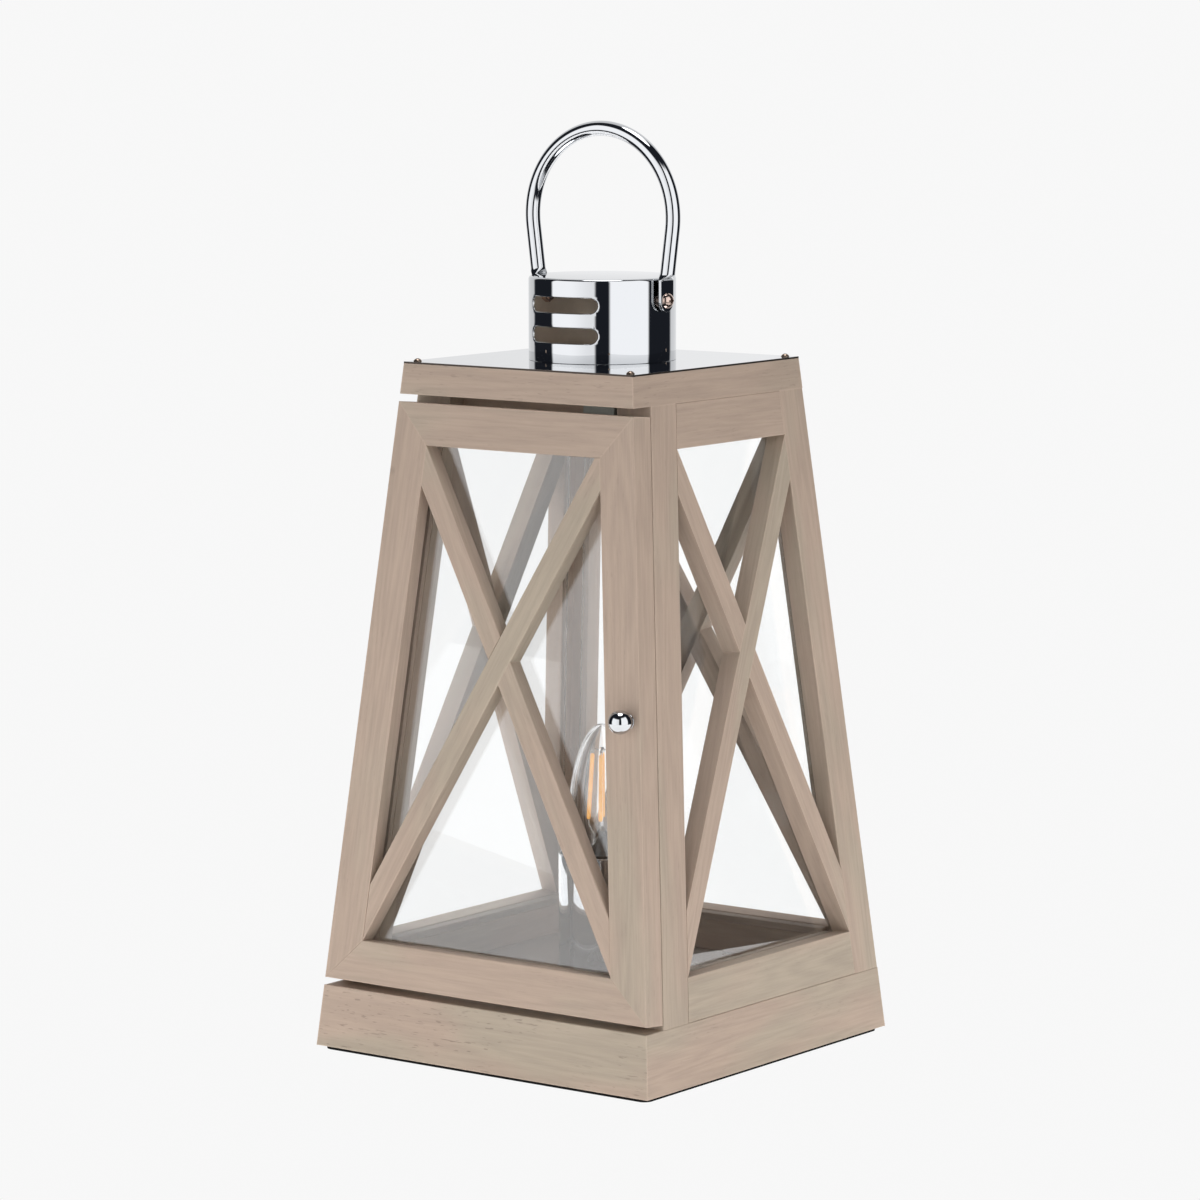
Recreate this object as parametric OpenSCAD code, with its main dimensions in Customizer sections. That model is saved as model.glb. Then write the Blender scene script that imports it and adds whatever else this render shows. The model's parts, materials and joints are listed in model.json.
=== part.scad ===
// Lantern table lamp: a tapered wooden lantern with X-braced glazed sides, a hinged glazed door,
// a mirror-polished top plate with a vent cup and bail handle, and a candle bulb in a chrome holder.
// Origin: centre of the underside. +Z is up, the door faces -Y, the bail pivots along X.

/* [Body outline] */
// Width across the lower edge of the plinth
base_w = 220; // [200:1:250]
// Width across the upper edge of the head frame
top_w = 150; // [140:1:170]
// Height from the plinth's lower edge to the head frame's upper edge
body_h = 366; // [330:1:420]

/* [Plinth and floor] */
// Height of the plinth boards
plinth_h = 33; // [28:1:45]
// Thickness of the plinth boards
plinth_t = 14; // [10:1:15]
// Thickness of the black base board
pad_t = 2; // [1:0.5:4]
// How far the base board stays in from the plinth's edge
pad_inset = 2.6; // [2:0.1:8]
// Radius of the base board's rounded corners
pad_corner_r = 5; // [2:0.5:12]
// Thickness of the wooden floor board
floor_board_t = 9; // [6:1:12]
// Thickness of the polished floor plate
floor_plate_t = 0.8; // [0.5:0.1:1.5]

/* [Head frame and top plate] */
// Height of the head frame boards
head_h = 16; // [12:1:24]
// Width of the head frame boards at their underside
head_board_w = 26; // [22:1:32]
// Thickness of the polished top plate
cap_plate_t = 1; // [0.8:0.1:2]
// Radius of the vent hole in the top plate
vent_hole_r = 29; // [20:1:30]
// Distance of the corner screws from the plate's edges
cap_screw_inset = 5.2; // [4:0.1:14]
// Radius of the corner screws' heads
cap_screw_head_r = 2.3; // [2:0.1:3.5]

/* [Posts, rails and braces] */
// Width of the corner posts
post_w = 22; // [21:0.5:26]
// Height of the side panels' rails
rail_h = 23.5; // [18:0.5:30]
// Width of the X braces
brace_w = 12.5; // [8:0.5:16]
// Thickness of the side panels' X braces and of the corner posts' legs
brace_t = 11; // [8:0.5:12]
// Thickness of the glass panes
glass_t = 2; // [1.5:0.5:3]
// How far the panes reach behind the edges of their openings
bite = 4; // [2:0.5:6]
// Play round the edge of each pane
glass_play = 0.4; // [0.2:0.1:0.8]
// Thickness of the beads above and below the side panes
bead_t = 5; // [3:0.5:5]
// Thickness of the header between the front posts
header_t = 10; // [8:1:12]
// Height of the header between the front posts
header_h = 16; // [12:1:24]

/* [Door] */
// Thickness of the door
door_t = 14.5; // [13.5:0.5:17]
// Width of the door stiles
stile_w = 22; // [18:0.5:26]
// Height of the door rails
door_rail_h = 22.5; // [18:0.5:28]
// Thickness of the door's X braces
door_brace_t = 9.5; // [8:0.5:10]
// Distance of the rising door brace's upper edge from the corner of the opening
rising_brace_shift = 3.5; // [0:0.1:6]
// Depth of the groove that holds the door pane
groove_d = 5; // [3:0.5:8]
// Gap between the groove's front edge and the door pane
groove_slack = 1.2; // [0:0.1:1.5]
// Gap above and below the door
door_gap = 4; // [3:0.5:6]
// Gap between the door's back and the front posts
seam_gap = 0.8; // [0.6:0.1:1.5]

/* [Door knob, hinges and catch] */
// Radius of the ball knob
knob_r = 6.25; // [5:0.25:8]
// Height of the knob above the plinth's lower edge
knob_z = 191; // [120:1:260]
// Distance of the knob from the door's edge
knob_inset = 7.5; // [6.5:0.5:14]
// Radius of the knob's base collar
knob_collar_r = 4.2; // [3.5:0.1:5]
// Radius of the knob's stud
knob_stud_r = 2; // [1.5:0.1:2.5]
// Length of each hinge
hinge_len = 30; // [24:1:40]
// Width of each hinge leaf
leaf_w = 13; // [10:0.5:16]
// Thickness of each hinge leaf
leaf_t = 1; // [0.8:0.1:1.2]
// Radius of the hinge knuckles
knuckle_r = 2.4; // [2.1:0.1:2.8]
// Radius of the hinge pins
hinge_pin_r = 1.2; // [1:0.1:1.3]
// Distance of each hinge's middle from the door's end
hinge_from_end = 48; // [36:1:80]
// Width of the magnetic catch
catch_w = 20; // [14:1:24]
// Gap between the catch and the right front post
catch_gap = 1.4; // [1:0.1:8]
// Height of the magnetic catch
catch_h = 11; // [8:1:14]
// Depth of the magnetic catch
catch_depth = 9; // [7:1:10]

/* [Vent cup] */
// Outer radius of the vent cup
cup_r = 39.2; // [36:0.1:42]
// Height of the vent cup
cup_h = 44.5; // [40:0.5:52]
// Wall thickness of the vent cup
cup_wall = 1; // [0.8:0.1:1.4]
// Radius of the cup's upper edge
cup_edge_r = 2.5; // [1.5:0.1:5]
// Width of the flange inside the cup's foot
cup_flange_w = 7; // [6:0.5:9]
// Height of each vent slot
slot_h = 8.1; // [6:0.1:10]
// Length of each vent slot across the front
slot_l = 43; // [30:1:50]
// Height of the lower slot's middle above the cup's foot
slot_z = 14.7; // [12:0.1:16]
// Distance between the slots' middles
slot_pitch = 15.9; // [13:0.1:18]

/* [Bail handle] */
// Radius of the handle's round bar
handle_bar_r = 4; // [3:0.1:5]
// Radius of the handle's arch along the bar's middle
handle_arch_r = 46.2; // [44:0.1:52]
// Height of the arch's centre above the pivots
handle_rise = 43.3; // [36:0.1:50]
// Inward lean of the handle's legs
leg_lean = 7.5; // [4:0.1:9]
// Height of the pivots above the top plate
pivot_h = 32.6; // [30:0.1:36]
// Thickness of the flattened lugs
lug_t = 2; // [1.5:0.1:3]
// Width of the flattened lugs
lug_w = 12; // [10:0.5:14]
// Height of the flat lug above the pivot
lug_h = 11; // [9:0.5:14]
// Height of the round bar's lower end above the pivot
bar_end_h = 14.5; // [14.5:0.5:20]
// Radius of the pivot screws
pivot_r = 2; // [1.5:0.1:2.5]
// Radius of the pivot screws' domed heads
pivot_head_r = 4.3; // [3.5:0.1:5.5]
// Thickness of the spacers between the cup and the lugs
spacer_t = 1.4; // [1:0.1:2.5]

/* [Bulb and lampholder] */
// Outer radius of the holder's chrome cover
cover_r = 23.3; // [20:0.1:27]
// Height of the cover above the floor plate
cover_h = 67; // [60:0.5:72]
// Drop of the lampholder's rim below the cover's rim
holder_drop = 7; // [4:0.5:12]
// Wall thickness of the cover
cover_wall = 1; // [0.8:0.1:1.5]
// Radius of the lampholder body
holder_r = 13.5; // [12:0.1:15]
// Radius of the bulb's screw cap
bulb_cap_r = 6.9; // [6.5:0.1:7.2]
// Length of the bulb's screw cap
bulb_cap_h = 25; // [22:0.5:27]
// Largest radius of the bulb glass
bulb_r = 17.5; // [15:0.5:18]
// Length of the bulb glass
bulb_h = 75; // [70:1:80]
// Thickness of the bulb glass
bulb_wall = 0.8; // [0.6:0.1:1.2]
// Length of each filament
filament_h = 36; // [28:1:38]
// Number of filaments
filament_count = 4; // [2:1:6]
// Radius of each filament
filament_r = 1.1; // [0.5:0.1:1.4]
// Radius of the threaded stem tube under the holder
nipple_r = 5; // [4:0.5:6]

/* [Cable gland] */
// Radius of the cable hole
gland_bore_r = 3.4; // [3:0.1:4]
// Radius of the gland's body
gland_body_r = 5.5; // [5:0.1:6]
// Radius of the gland's flange
gland_flange_r = 8.5; // [7.5:0.5:9]
// Height of the gland above the plinth's lower edge
gland_z = 14; // [12:0.5:16]

/* [Hidden] */
// Gap that lets a turning or sliding face run free
run_gap = 0.1;
// Radial gap of a pin in its hole
pin_play = 0.05;
// Gap round the hinge knuckles
knuckle_gap = 0.3;
// Reach of the cutting blocks, larger than the lamp
reach = 700;
// Side of a small overlap where one shape is merged into another
merge = 0.5;
// Depth of the wood screws' shafts
screw_len = 10;
// Smoothness of round surfaces
round_fn = 96;
fine_fn = 48;

taper = (base_w - top_w) / 2 / body_h;
lean = atan(taper);
skew = atan(sin(lean));
plinth_top = pad_t + plinth_h;
head_z1 = pad_t + body_h;
head_z0 = head_z1 - head_h;
cap_top = head_z1 + cap_plate_t;
floor_z0 = plinth_top - floor_board_t;
floor_top = plinth_top + floor_plate_t;
pivot_z = cap_top + pivot_h;
rail_t = brace_t + glass_t + bead_t;
seam = door_t + seam_gap;
front_post_back = seam + post_w;
door_z0 = plinth_top + door_gap;
door_z1 = head_z0 - door_gap;
FRONT = 0;
RIGHT = 90;
BACK = 180;
LEFT = 270;

WOOD = [0.71, 0.65, 0.58];
WOOD_LIGHT = [0.75, 0.69, 0.62];
WOOD_DARK = [0.62, 0.55, 0.48];
GLASS = [0.86, 0.9, 0.92, 0.35];
CHROME = [0.82, 0.83, 0.85];
STEEL = [0.66, 0.65, 0.62];
BLACK = [0.05, 0.05, 0.05];
BRASS = [0.8, 0.65, 0.3];

// Half width of the lantern at a height
function half_w(z) = base_w / 2 - taper * (z - pad_t);
// Distance up a leaning face at a height
function up_face(z) = (z - pad_t) / cos(lean);
// Half width of a leaning face at a distance up it
function face_half(v) = base_w / 2 - sin(lean) * v;
// Distance across a face that a depth behind its neighbour takes up
function across(d) = d / cos(lean);
// Left and right edges of an opening that stays d0 and d1 in from the face's corners, grown by g
function edge0(v, d0, g) = -(face_half(v) - across(d0)) - g / cos(skew);
function edge1(v, d1, g) = face_half(v) - across(d1) + g / cos(skew);
// Corners of a leaning opening, anticlockwise from its lower left
function opening(v0, v1, d0, d1, g = 0) = [
    [edge0(v0 - g, d0, g), v0 - g], [edge1(v0 - g, d1, g), v0 - g],
    [edge1(v1 + g, d1, g), v1 + g], [edge0(v1 + g, d0, g), v1 + g]];
// The same corners seen from the other side
function flipped(pts) = [for (i = [0 : len(pts) - 1]) [-pts[len(pts) - 1 - i][0], pts[len(pts) - 1 - i][1]]];

// Places a piece on a leaning face: X across, Y up the face, Z outwards
module on_face(turn) {
    rotate([0, 0, turn])
        translate([0, -base_w / 2, pad_t])
            rotate([90 - lean, 0, 0])
                children();
}

// Everything more than d behind a face
module behind(turn, d) {
    on_face(turn)
        translate([-reach, -reach, -d - reach])
            cube([2 * reach, 2 * reach, reach]);
}

// The layer from d0 to d1 behind a face
module layer(turn, d0, d1) {
    on_face(turn)
        translate([-reach, -reach, -d1])
            cube([2 * reach, 2 * reach, d1 - d0]);
}

// Everything between two heights
module level(z0, z1) {
    translate([-reach, -reach, z0])
        cube([2 * reach, 2 * reach, z1 - z0]);
}

// A quarter of the plan, for mitred corners
module quarter(turn) {
    rotate([0, 0, turn])
        translate([0, 0, -reach])
            linear_extrude(2 * reach)
                polygon([[0, 0], [-reach, -reach], [reach, -reach]]);
}

// The tapered block inside all four faces, d behind each
module tapered_block(d, z0, z1) {
    intersection() {
        level(z0, z1);
        behind(FRONT, d);
        behind(RIGHT, d);
        behind(BACK, d);
        behind(LEFT, d);
    }
}

// A plate of the given outline, from depth d to depth d + t behind a face
module plate_on(turn, pts, d, t) {
    on_face(turn)
        translate([0, 0, -d - t])
            linear_extrude(t)
                polygon(pts);
}

// A domed screw head of radius r and height h with a cross recess, standing on the plane z = 0
module domed_head(r, h) {
    dome_r = (r * r + h * h) / (2 * h);
    difference() {
        intersection() {
            cylinder(r = r, h = h, $fn = fine_fn);
            translate([0, 0, h - dome_r])
                sphere(r = dome_r, $fn = round_fn);
        }
        translate([0, 0, h])
            for (turn = [0, 90])
                rotate([0, 0, turn])
                    cube([r, r / 5, h], center = true);
    }
}

// A domed screw pointing down, with the underside of its head at z = 0
module domed_screw(shaft_r, head_r, head_h, length) {
    translate([0, 0, -length])
        cylinder(r = shaft_r, h = length + merge, $fn = fine_fn);
    domed_head(head_r, head_h);
}

// ---- Plinth and floor ----

module base_board() {
    half = base_w / 2 - pad_inset;
    straight = half - pad_corner_r;
    color(BLACK) {
        translate([-half, -straight, 0])
            cube([2 * half, 2 * straight, pad_t]);
        translate([-straight, -half, 0])
            cube([2 * straight, 2 * half, pad_t]);
        for (x = [-straight, straight], y = [-straight, straight])
            translate([x, y, 0])
                cylinder(r = pad_corner_r, h = pad_t, $fn = round_fn);
    }
}

module plinth_board(turn) {
    color(WOOD_LIGHT)
        difference() {
            intersection() {
                tapered_block(0, pad_t, plinth_top);
                quarter(turn);
            }
            tapered_block(plinth_t, pad_t - merge, plinth_top + merge);
            if (turn == BACK) gland_hole();
        }
}

module floor_board() {
    color(WOOD_DARK)
        difference() {
            tapered_block(plinth_t, floor_z0, plinth_top);
            translate([0, 0, floor_z0 - merge])
                cylinder(r = nipple_r + run_gap, h = floor_board_t + 2 * merge, $fn = fine_fn);
        }
}

module floor_plate() {
    color(CHROME)
        difference() {
            intersection() {
                level(plinth_top, floor_top);
                behind(FRONT, seam);
                behind(RIGHT, rail_t + glass_play);
                behind(LEFT, rail_t + glass_play);
                behind(BACK, rail_t + glass_play);
            }
            for (turn = [RIGHT, LEFT]) {
                intersection() {
                    layer(turn, -1, post_w + glass_play);
                    layer(FRONT, -1, front_post_back + glass_play);
                }
                intersection() {
                    layer(turn, -1, post_w + glass_play);
                    layer(BACK, -1, post_w + glass_play);
                }
            }
            translate([0, 0, plinth_top - merge])
                cylinder(r = nipple_r + run_gap, h = floor_plate_t + 2 * merge, $fn = fine_fn);
        }
}

// ---- Posts ----

panel_v0 = up_face(plinth_top) + rail_h;
panel_v1 = up_face(head_z0) - rail_h;
// The posts are full squares below and above these heights, where the rails meet them
leg_z0 = pad_t + (panel_v0 - bite) * cos(lean) - post_w * sin(lean);
leg_z1 = pad_t + (panel_v1 + bite) * cos(lean) - brace_t * sin(lean);

// Depth of the post at a panel's left, which is a front post on the right panel
function near_post(turn) = turn == BACK ? post_w : front_post_back;
// Outline of a side panel's opening; the front post lies further in than the back one
function side_opening(g) = opening(panel_v0, panel_v1, front_post_back, post_w, g);
function back_opening(g) = opening(panel_v0, panel_v1, post_w, post_w, g);

// The rebate behind an opening that takes the glass and its beads
module rebate(turn, pts) {
    plate_on(turn, pts, brace_t, reach);
}

// What is cut out of a post between its ends, so that its two legs are as thick as the braces
module inner_corner(turn, neighbour, d) {
    intersection() {
        behind(turn, brace_t);
        behind(neighbour, d);
        level(leg_z0, leg_z1);
    }
}

module front_post(turn) {
    color(WOOD)
        difference() {
            intersection() {
                level(plinth_top, head_z0);
                layer(turn, 0, post_w);
                layer(FRONT, seam, front_post_back);
            }
            inner_corner(turn, FRONT, seam + brace_t);
            if (turn == LEFT) hinge_cuts(false);
        }
}

module back_post(turn) {
    color(WOOD)
        difference() {
            intersection() {
                level(plinth_top, head_z0);
                layer(turn, 0, post_w);
                layer(BACK, 0, post_w);
            }
            inner_corner(turn, BACK, brace_t);
        }
}

// ---- Glazed panels with X braces ----

// The space between a panel's two posts
module bay(turn) {
    intersection() {
        behind(turn - 90, near_post(turn));
        behind(turn + 90, post_w);
    }
}

function panel_outline(turn, g) = turn == BACK ? back_opening(g) : side_opening(g);

module panel_rail(turn, z0, z1, v0, v1) {
    color(WOOD_LIGHT)
        difference() {
            intersection() {
                level(z0, z1);
                layer(turn, 0, rail_t);
                bay(turn);
                on_face(turn)
                    translate([-reach, v0, -reach])
                        cube([2 * reach, v1 - v0, 2 * reach]);
            }
            rebate(turn, panel_outline(turn, bite));
        }
}

module rail_top(turn) {
    panel_rail(turn, plinth_top, head_z0, panel_v1, panel_v1 + 2 * rail_h);
}

module rail_bottom(turn) {
    panel_rail(turn, plinth_top, head_z0, panel_v0 - 2 * rail_h, panel_v0);
}

// Band of a brace across an opening: it rises to the right, one edge through the opening's lower
// left corner and the other through its upper right corner, or past it by shift
module rising_band(pts, shift = 0) {
    low = pts[0];
    high = pts[2] - [shift, 0];
    diagonal = norm(high - low);
    angle = atan2(high[1] - low[1], high[0] - low[0]) - asin(brace_w / diagonal);
    translate(low)
        rotate(angle)
            translate([-diagonal, 0])
                square([3 * diagonal, brace_w]);
}

// A brace from the face to depth t, cut to the opening's height
module brace_bar(pts, t, falling, shift) {
    intersection() {
        translate([0, 0, -t])
            linear_extrude(t)
                if (falling) mirror([1, 0]) rising_band(flipped(pts));
                else rising_band(pts, shift);
        translate([-reach, pts[0][1], -reach])
            cube([2 * reach, pts[2][1] - pts[0][1], 2 * reach]);
    }
}

// The half of a brace's thickness that its partner takes at the half-lap
module lap(pts, t, falling, upper, shift) {
    translate([0, 0, upper ? 0 : -t])
        linear_extrude(t, center = true)
            if (falling) mirror([1, 0]) rising_band(flipped(pts));
            else rising_band(pts, shift);
}

module lapped_brace(pts, t, falling, shift = 0) {
    difference() {
        brace_bar(pts, t, falling, shift);
        lap(pts, t, !falling, falling, shift);
    }
}

module panel_brace(turn, falling) {
    color(WOOD)
        intersection() {
            on_face(turn)
                lapped_brace(panel_outline(turn, 0), brace_t, falling);
            bay(turn);
        }
}

module panel_glass(turn) {
    color(GLASS)
        plate_on(turn, panel_outline(turn, bite - glass_play), brace_t, glass_t);
}

// Two beads behind a pane, one let into each rail
module panel_beads(turn) {
    color(WOOD_DARK)
        for (v = [panel_v0 - bite, panel_v1])
            plate_on(turn, opening(v, v + bite, near_post(turn), post_w), brace_t + glass_t, bead_t);
}

module left_of() {
    mirror([1, 0, 0]) children();
}

module glass_beads() {
    panel_beads(RIGHT);
    left_of() panel_beads(RIGHT);
    panel_beads(BACK);
}

// ---- Head frame, header and top plate ----

module front_header() {
    color(WOOD_DARK)
        intersection() {
            level(head_z0 - header_h, head_z0);
            layer(FRONT, front_post_back - header_t, front_post_back);
            behind(RIGHT, post_w);
            behind(LEFT, post_w);
        }
}

head_opening_half = half_w(head_z0) - head_board_w;

module cap_screw_places() {
    place = top_w / 2 - cap_screw_inset;
    for (x = [-place, place])
        for (y = [-place, place])
            translate([x, y, cap_top])
                children();
}

module head_board(turn) {
    color(WOOD_LIGHT)
        difference() {
            intersection() {
                tapered_block(0, head_z0, head_z1);
                quarter(turn);
            }
            translate([-head_opening_half, -head_opening_half, head_z0 - merge])
                cube([2 * head_opening_half, 2 * head_opening_half, head_h + 2 * merge]);
            cap_screw_places()
                translate([0, 0, -screw_len - merge])
                    cylinder(r = cap_screw_shaft_r + pin_play, h = screw_len + 2 * merge, $fn = fine_fn);
        }
}

cap_screw_shaft_r = cap_screw_head_r * 0.55;
cap_screw_head_h = 1.6;

module cap_plate() {
    color(CHROME)
        difference() {
            translate([-top_w / 2, -top_w / 2, head_z1])
                cube([top_w, top_w, cap_plate_t]);
            translate([0, 0, head_z1 - merge])
                cylinder(r = vent_hole_r, h = cap_plate_t + 2 * merge, $fn = round_fn);
            cup_rivet_places()
                translate([0, 0, -cap_plate_t - merge])
                    cylinder(r = rivet_r + pin_play, h = cap_plate_t + 2 * merge, $fn = fine_fn);
            cap_screw_places()
                translate([0, 0, -cap_plate_t - merge])
                    cylinder(r = cap_screw_shaft_r + pin_play, h = cap_plate_t + 2 * merge, $fn = fine_fn);
        }
}

module cap_screws() {
    color(STEEL)
        cap_screw_places()
            domed_screw(cap_screw_shaft_r, cap_screw_head_r, cap_screw_head_h, screw_len);
}

// ---- Vent cup ----

// Half section of a round block with a rounded upper edge
module rounded_half(r, h, edge) {
    square([r - edge, h]);
    square([r, h - edge]);
    translate([r - edge, h - edge])
        circle(r = edge, $fn = fine_fn);
}

module slot_cut(z) {
    translate([0, 0, z])
        rotate([90, 0, 0])
            translate([0, 0, -reach / 2])
                linear_extrude(reach) {
                    square([slot_l - slot_h, slot_h], center = true);
                    for (side = [-1, 1])
                        translate([side * (slot_l - slot_h) / 2, 0])
                            circle(d = slot_h, $fn = fine_fn);
                }
}

module vent_cup() {
    color(CHROME)
        difference() {
            translate([0, 0, cap_top])
                rotate_extrude($fn = round_fn)
                    difference() {
                        rounded_half(cup_r, cup_h, cup_edge_r);
                        translate([0, cup_wall])
                            rounded_half(cup_r - cup_wall, cup_h - 2 * cup_wall, cup_edge_r - cup_wall);
                        translate([0, -merge])
                            square([cup_r - cup_flange_w, 2 * cup_wall + merge]);
                    }
            for (i = [0, 1])
                slot_cut(cap_top + slot_z + i * slot_pitch);
            translate([-reach / 2, 0, pivot_z])
                rotate([0, 90, 0])
                    cylinder(r = pivot_r + pin_play, h = reach, $fn = fine_fn);
            cup_rivet_places()
                translate([0, 0, -merge])
                    cylinder(r = rivet_r + pin_play, h = 2 * cup_wall + merge, $fn = fine_fn);
        }
}

rivet_r = 1.5;
rivet_head_r = 2.6;
rivet_head_h = 0.9;
rivet_count = 3;

module cup_rivet_places() {
    for (i = [0 : rivet_count - 1])
        rotate([0, 0, 90 + i * 360 / rivet_count])
            translate([cup_r - cup_flange_w / 2 - cup_wall / 2, 0, cap_top])
                children();
}

// ---- Bail handle ----

lug_x = cup_r + spacer_t + run_gap;
leg_top_z = handle_rise - handle_arch_r * sin(leg_lean);
leg_top_x = handle_arch_r * cos(leg_lean);
// The legs are turned a hair thinner and run on into the arch
leg_r = handle_bar_r - pin_play;
leg_len = (leg_top_z - bar_end_h) / cos(leg_lean) + 1;
bar_end_x = leg_top_x - (leg_top_z - bar_end_h) * tan(leg_lean);

module handle_leg() {
    translate([bar_end_x, 0, bar_end_h])
        rotate([0, leg_lean, 0])
            cylinder(r = leg_r, h = leg_len, $fn = fine_fn);
    hull() {
        translate([bar_end_x, 0, bar_end_h])
            rotate([0, leg_lean, 0])
                cylinder(r = leg_r - pin_play, h = merge, $fn = 32);
        translate([lug_x, -lug_w / 2, lug_h - merge])
            cube([lug_t, lug_w, merge]);
    }
    difference() {
        translate([lug_x, 0, 0])
            rotate([90, 0, 90])
                linear_extrude(lug_t) {
                    translate([-lug_w / 2, 0])
                        square([lug_w, lug_h]);
                    circle(d = lug_w, $fn = fine_fn);
                }
        translate([lug_x - merge, 0, 0])
            rotate([0, 90, 0])
                cylinder(r = pivot_r + pin_play, h = lug_t + 2 * merge, $fn = fine_fn);
    }
}

module handle() {
    color(CHROME)
        translate([0, 0, pivot_z]) {
            translate([0, 0, handle_rise])
                rotate([90, 0, 0])
                    rotate([0, 0, -leg_lean])
                        rotate_extrude(angle = 180 + 2 * leg_lean, $fn = round_fn)
                            translate([handle_arch_r, 0])
                                circle(r = handle_bar_r, $fn = fine_fn);
            handle_leg();
            left_of() handle_leg();
        }
}

pivot_head_h = 3;
nut_t = 3;
// The inside of the cup's wall touches the nut along the nut's upright edges
nut_r = pivot_r * 1.9;
nut_x = sqrt(pow(cup_r - cup_wall, 2) - pow(nut_r, 2)) - run_gap;

module pivot_screw() {
    head_x = lug_x + lug_t + run_gap;
    translate([head_x, 0, pivot_z])
        rotate([0, 90, 0])
            domed_screw(pivot_r, pivot_head_r, pivot_head_h, head_x - nut_x + nut_t + merge);
}

module pivot_nut_and_spacer() {
    translate([nut_x - nut_t, 0, pivot_z])
        rotate([0, 90, 0])
            difference() {
                cylinder(r = nut_r, h = nut_t, $fn = 6);
                translate([0, 0, -merge])
                    cylinder(r = pivot_r + pin_play, h = nut_t + 2 * merge, $fn = fine_fn);
            }
    translate([cup_r, 0, pivot_z])
        rotate([0, 90, 0])
            difference() {
                cylinder(r = pivot_r * 2, h = spacer_t, $fn = fine_fn);
                translate([0, 0, -merge])
                    cylinder(r = pivot_r + pin_play, h = spacer_t + 2 * merge, $fn = fine_fn);
            }
}

module pivot_fixing() {
    pivot_screw();
    pivot_nut_and_spacer();
}

module handle_screws() {
    color(STEEL) {
        pivot_fixing();
        left_of() pivot_fixing();
    }
}

module cup_rivets() {
    color(STEEL)
        cup_rivet_places() {
            translate([0, 0, -cap_plate_t - rivet_head_h])
                cylinder(r = rivet_head_r, h = rivet_head_h, $fn = fine_fn);
            translate([0, 0, -cap_plate_t - merge])
                cylinder(r = rivet_r, h = cap_plate_t + cup_wall + 2 * merge, $fn = fine_fn);
            translate([0, 0, cup_wall])
                cylinder(r = rivet_head_r, h = rivet_head_h, $fn = fine_fn);
        }
}

// ---- Door ----

door_v0 = up_face(door_z0);
door_v1 = up_face(door_z1);
pane_v0 = door_v0 + door_rail_h;
pane_v1 = door_v1 - door_rail_h;
stile_across = stile_w / cos(skew) * cos(lean);
groove_w = groove_slack + glass_t + glass_play;

function door_outline() = opening(door_v0, door_v1, 0, 0);
function door_opening(g = 0) = opening(pane_v0, pane_v1, stile_across, stile_across, g);

// One mitred member of the door frame: side 0 is the lower rail, 1 right, 2 the upper rail, 3 left
module door_member(side) {
    outer = door_outline();
    inner = door_opening();
    next = (side + 1) % 4;
    difference() {
        plate_on(FRONT, [outer[side], outer[next], inner[next], inner[side]], 0, door_t);
        plate_on(FRONT, door_opening(groove_d), door_brace_t - groove_slack, groove_w);
    }
}

module door_rail_bottom() {
    color(WOOD_LIGHT) door_member(0);
}

module door_stile_right() {
    color(WOOD)
        difference() {
            door_member(1);
            knob_place()
                translate([0, 0, -door_t + merge])
                    cylinder(r = knob_stud_r + pin_play, h = door_t, $fn = fine_fn);
        }
}

module door_rail_top() {
    color(WOOD_LIGHT) door_member(2);
}

module door_stile_left() {
    color(WOOD)
        difference() {
            door_member(3);
            hinge_cuts(true);
        }
}

module door_brace(falling) {
    color(WOOD)
        intersection() {
            on_face(FRONT)
                lapped_brace(door_opening(), door_brace_t, falling, rising_brace_shift);
            plate_on(FRONT, door_opening(), 0, door_brace_t);
        }
}

module door_glass() {
    color(GLASS)
        plate_on(FRONT, door_opening(groove_d - glass_play), door_brace_t, glass_t);
}

// ---- Knob and catch ----

module knob_place() {
    v = up_face(knob_z + pad_t);
    on_face(FRONT)
        translate([face_half(v) - knob_inset, v, 0])
            children();
}

knob_collar_t = 0.8;
knob_sink = 0.35;

module door_knob() {
    color(CHROME)
        knob_place() {
            translate([0, 0, -door_t + 3])
                cylinder(r = knob_stud_r, h = door_t, $fn = fine_fn);
            cylinder(r = knob_collar_r, h = knob_collar_t, $fn = fine_fn);
            translate([0, 0, knob_collar_t - knob_sink + knob_r])
                sphere(r = knob_r, $fn = round_fn);
        }
}

catch_plate_t = 0.6;
catch_plate_h = 9;
catch_x0 = half_w(head_z0) - across(post_w) - catch_gap - catch_w;

module catch_plate() {
    color(STEEL)
        on_face(FRONT)
            translate([catch_x0, door_v1 - catch_plate_h, -door_t - catch_plate_t])
                cube([catch_w, catch_plate_h - 1, catch_plate_t]);
}

module catch_body() {
    color([0.8, 0.8, 0.78])
        intersection() {
            level(head_z0 - catch_h, head_z0);
            layer(FRONT, seam, seam + catch_depth);
            translate([catch_x0, -reach, 0])
                cube([catch_w, reach, reach]);
        }
}

// ---- Hinges ----

// The pin's axis lies outside the left face, in the middle of the seam, and leans with the corner
pin_out = knuckle_r + knuckle_gap;
pin_depth = door_t + seam_gap / 2;
knuckle_count = 3;
knuckle_len = hinge_len / knuckle_count;
leaf_screw_r = 1.1;
leaf_screw_head_r = 2.1;
leaf_screw_head_t = leaf_t / 2;

// Places a piece at a hinge: Y along the pin, X across the seam to the right, Z outwards
module hinge_place(v) {
    on_face(FRONT)
        translate([-face_half(v) - pin_out, v, -pin_depth])
            rotate([0, 0, -skew])
                children();
}

module at_hinges() {
    hinge_place(door_v0 + hinge_from_end) children();
    hinge_place(door_v1 - hinge_from_end) children();
}

// Turns a post leaf into a door leaf
module leaf_side(on_door) {
    mirror([0, 0, on_door ? 0 : 1]) children();
}

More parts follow.
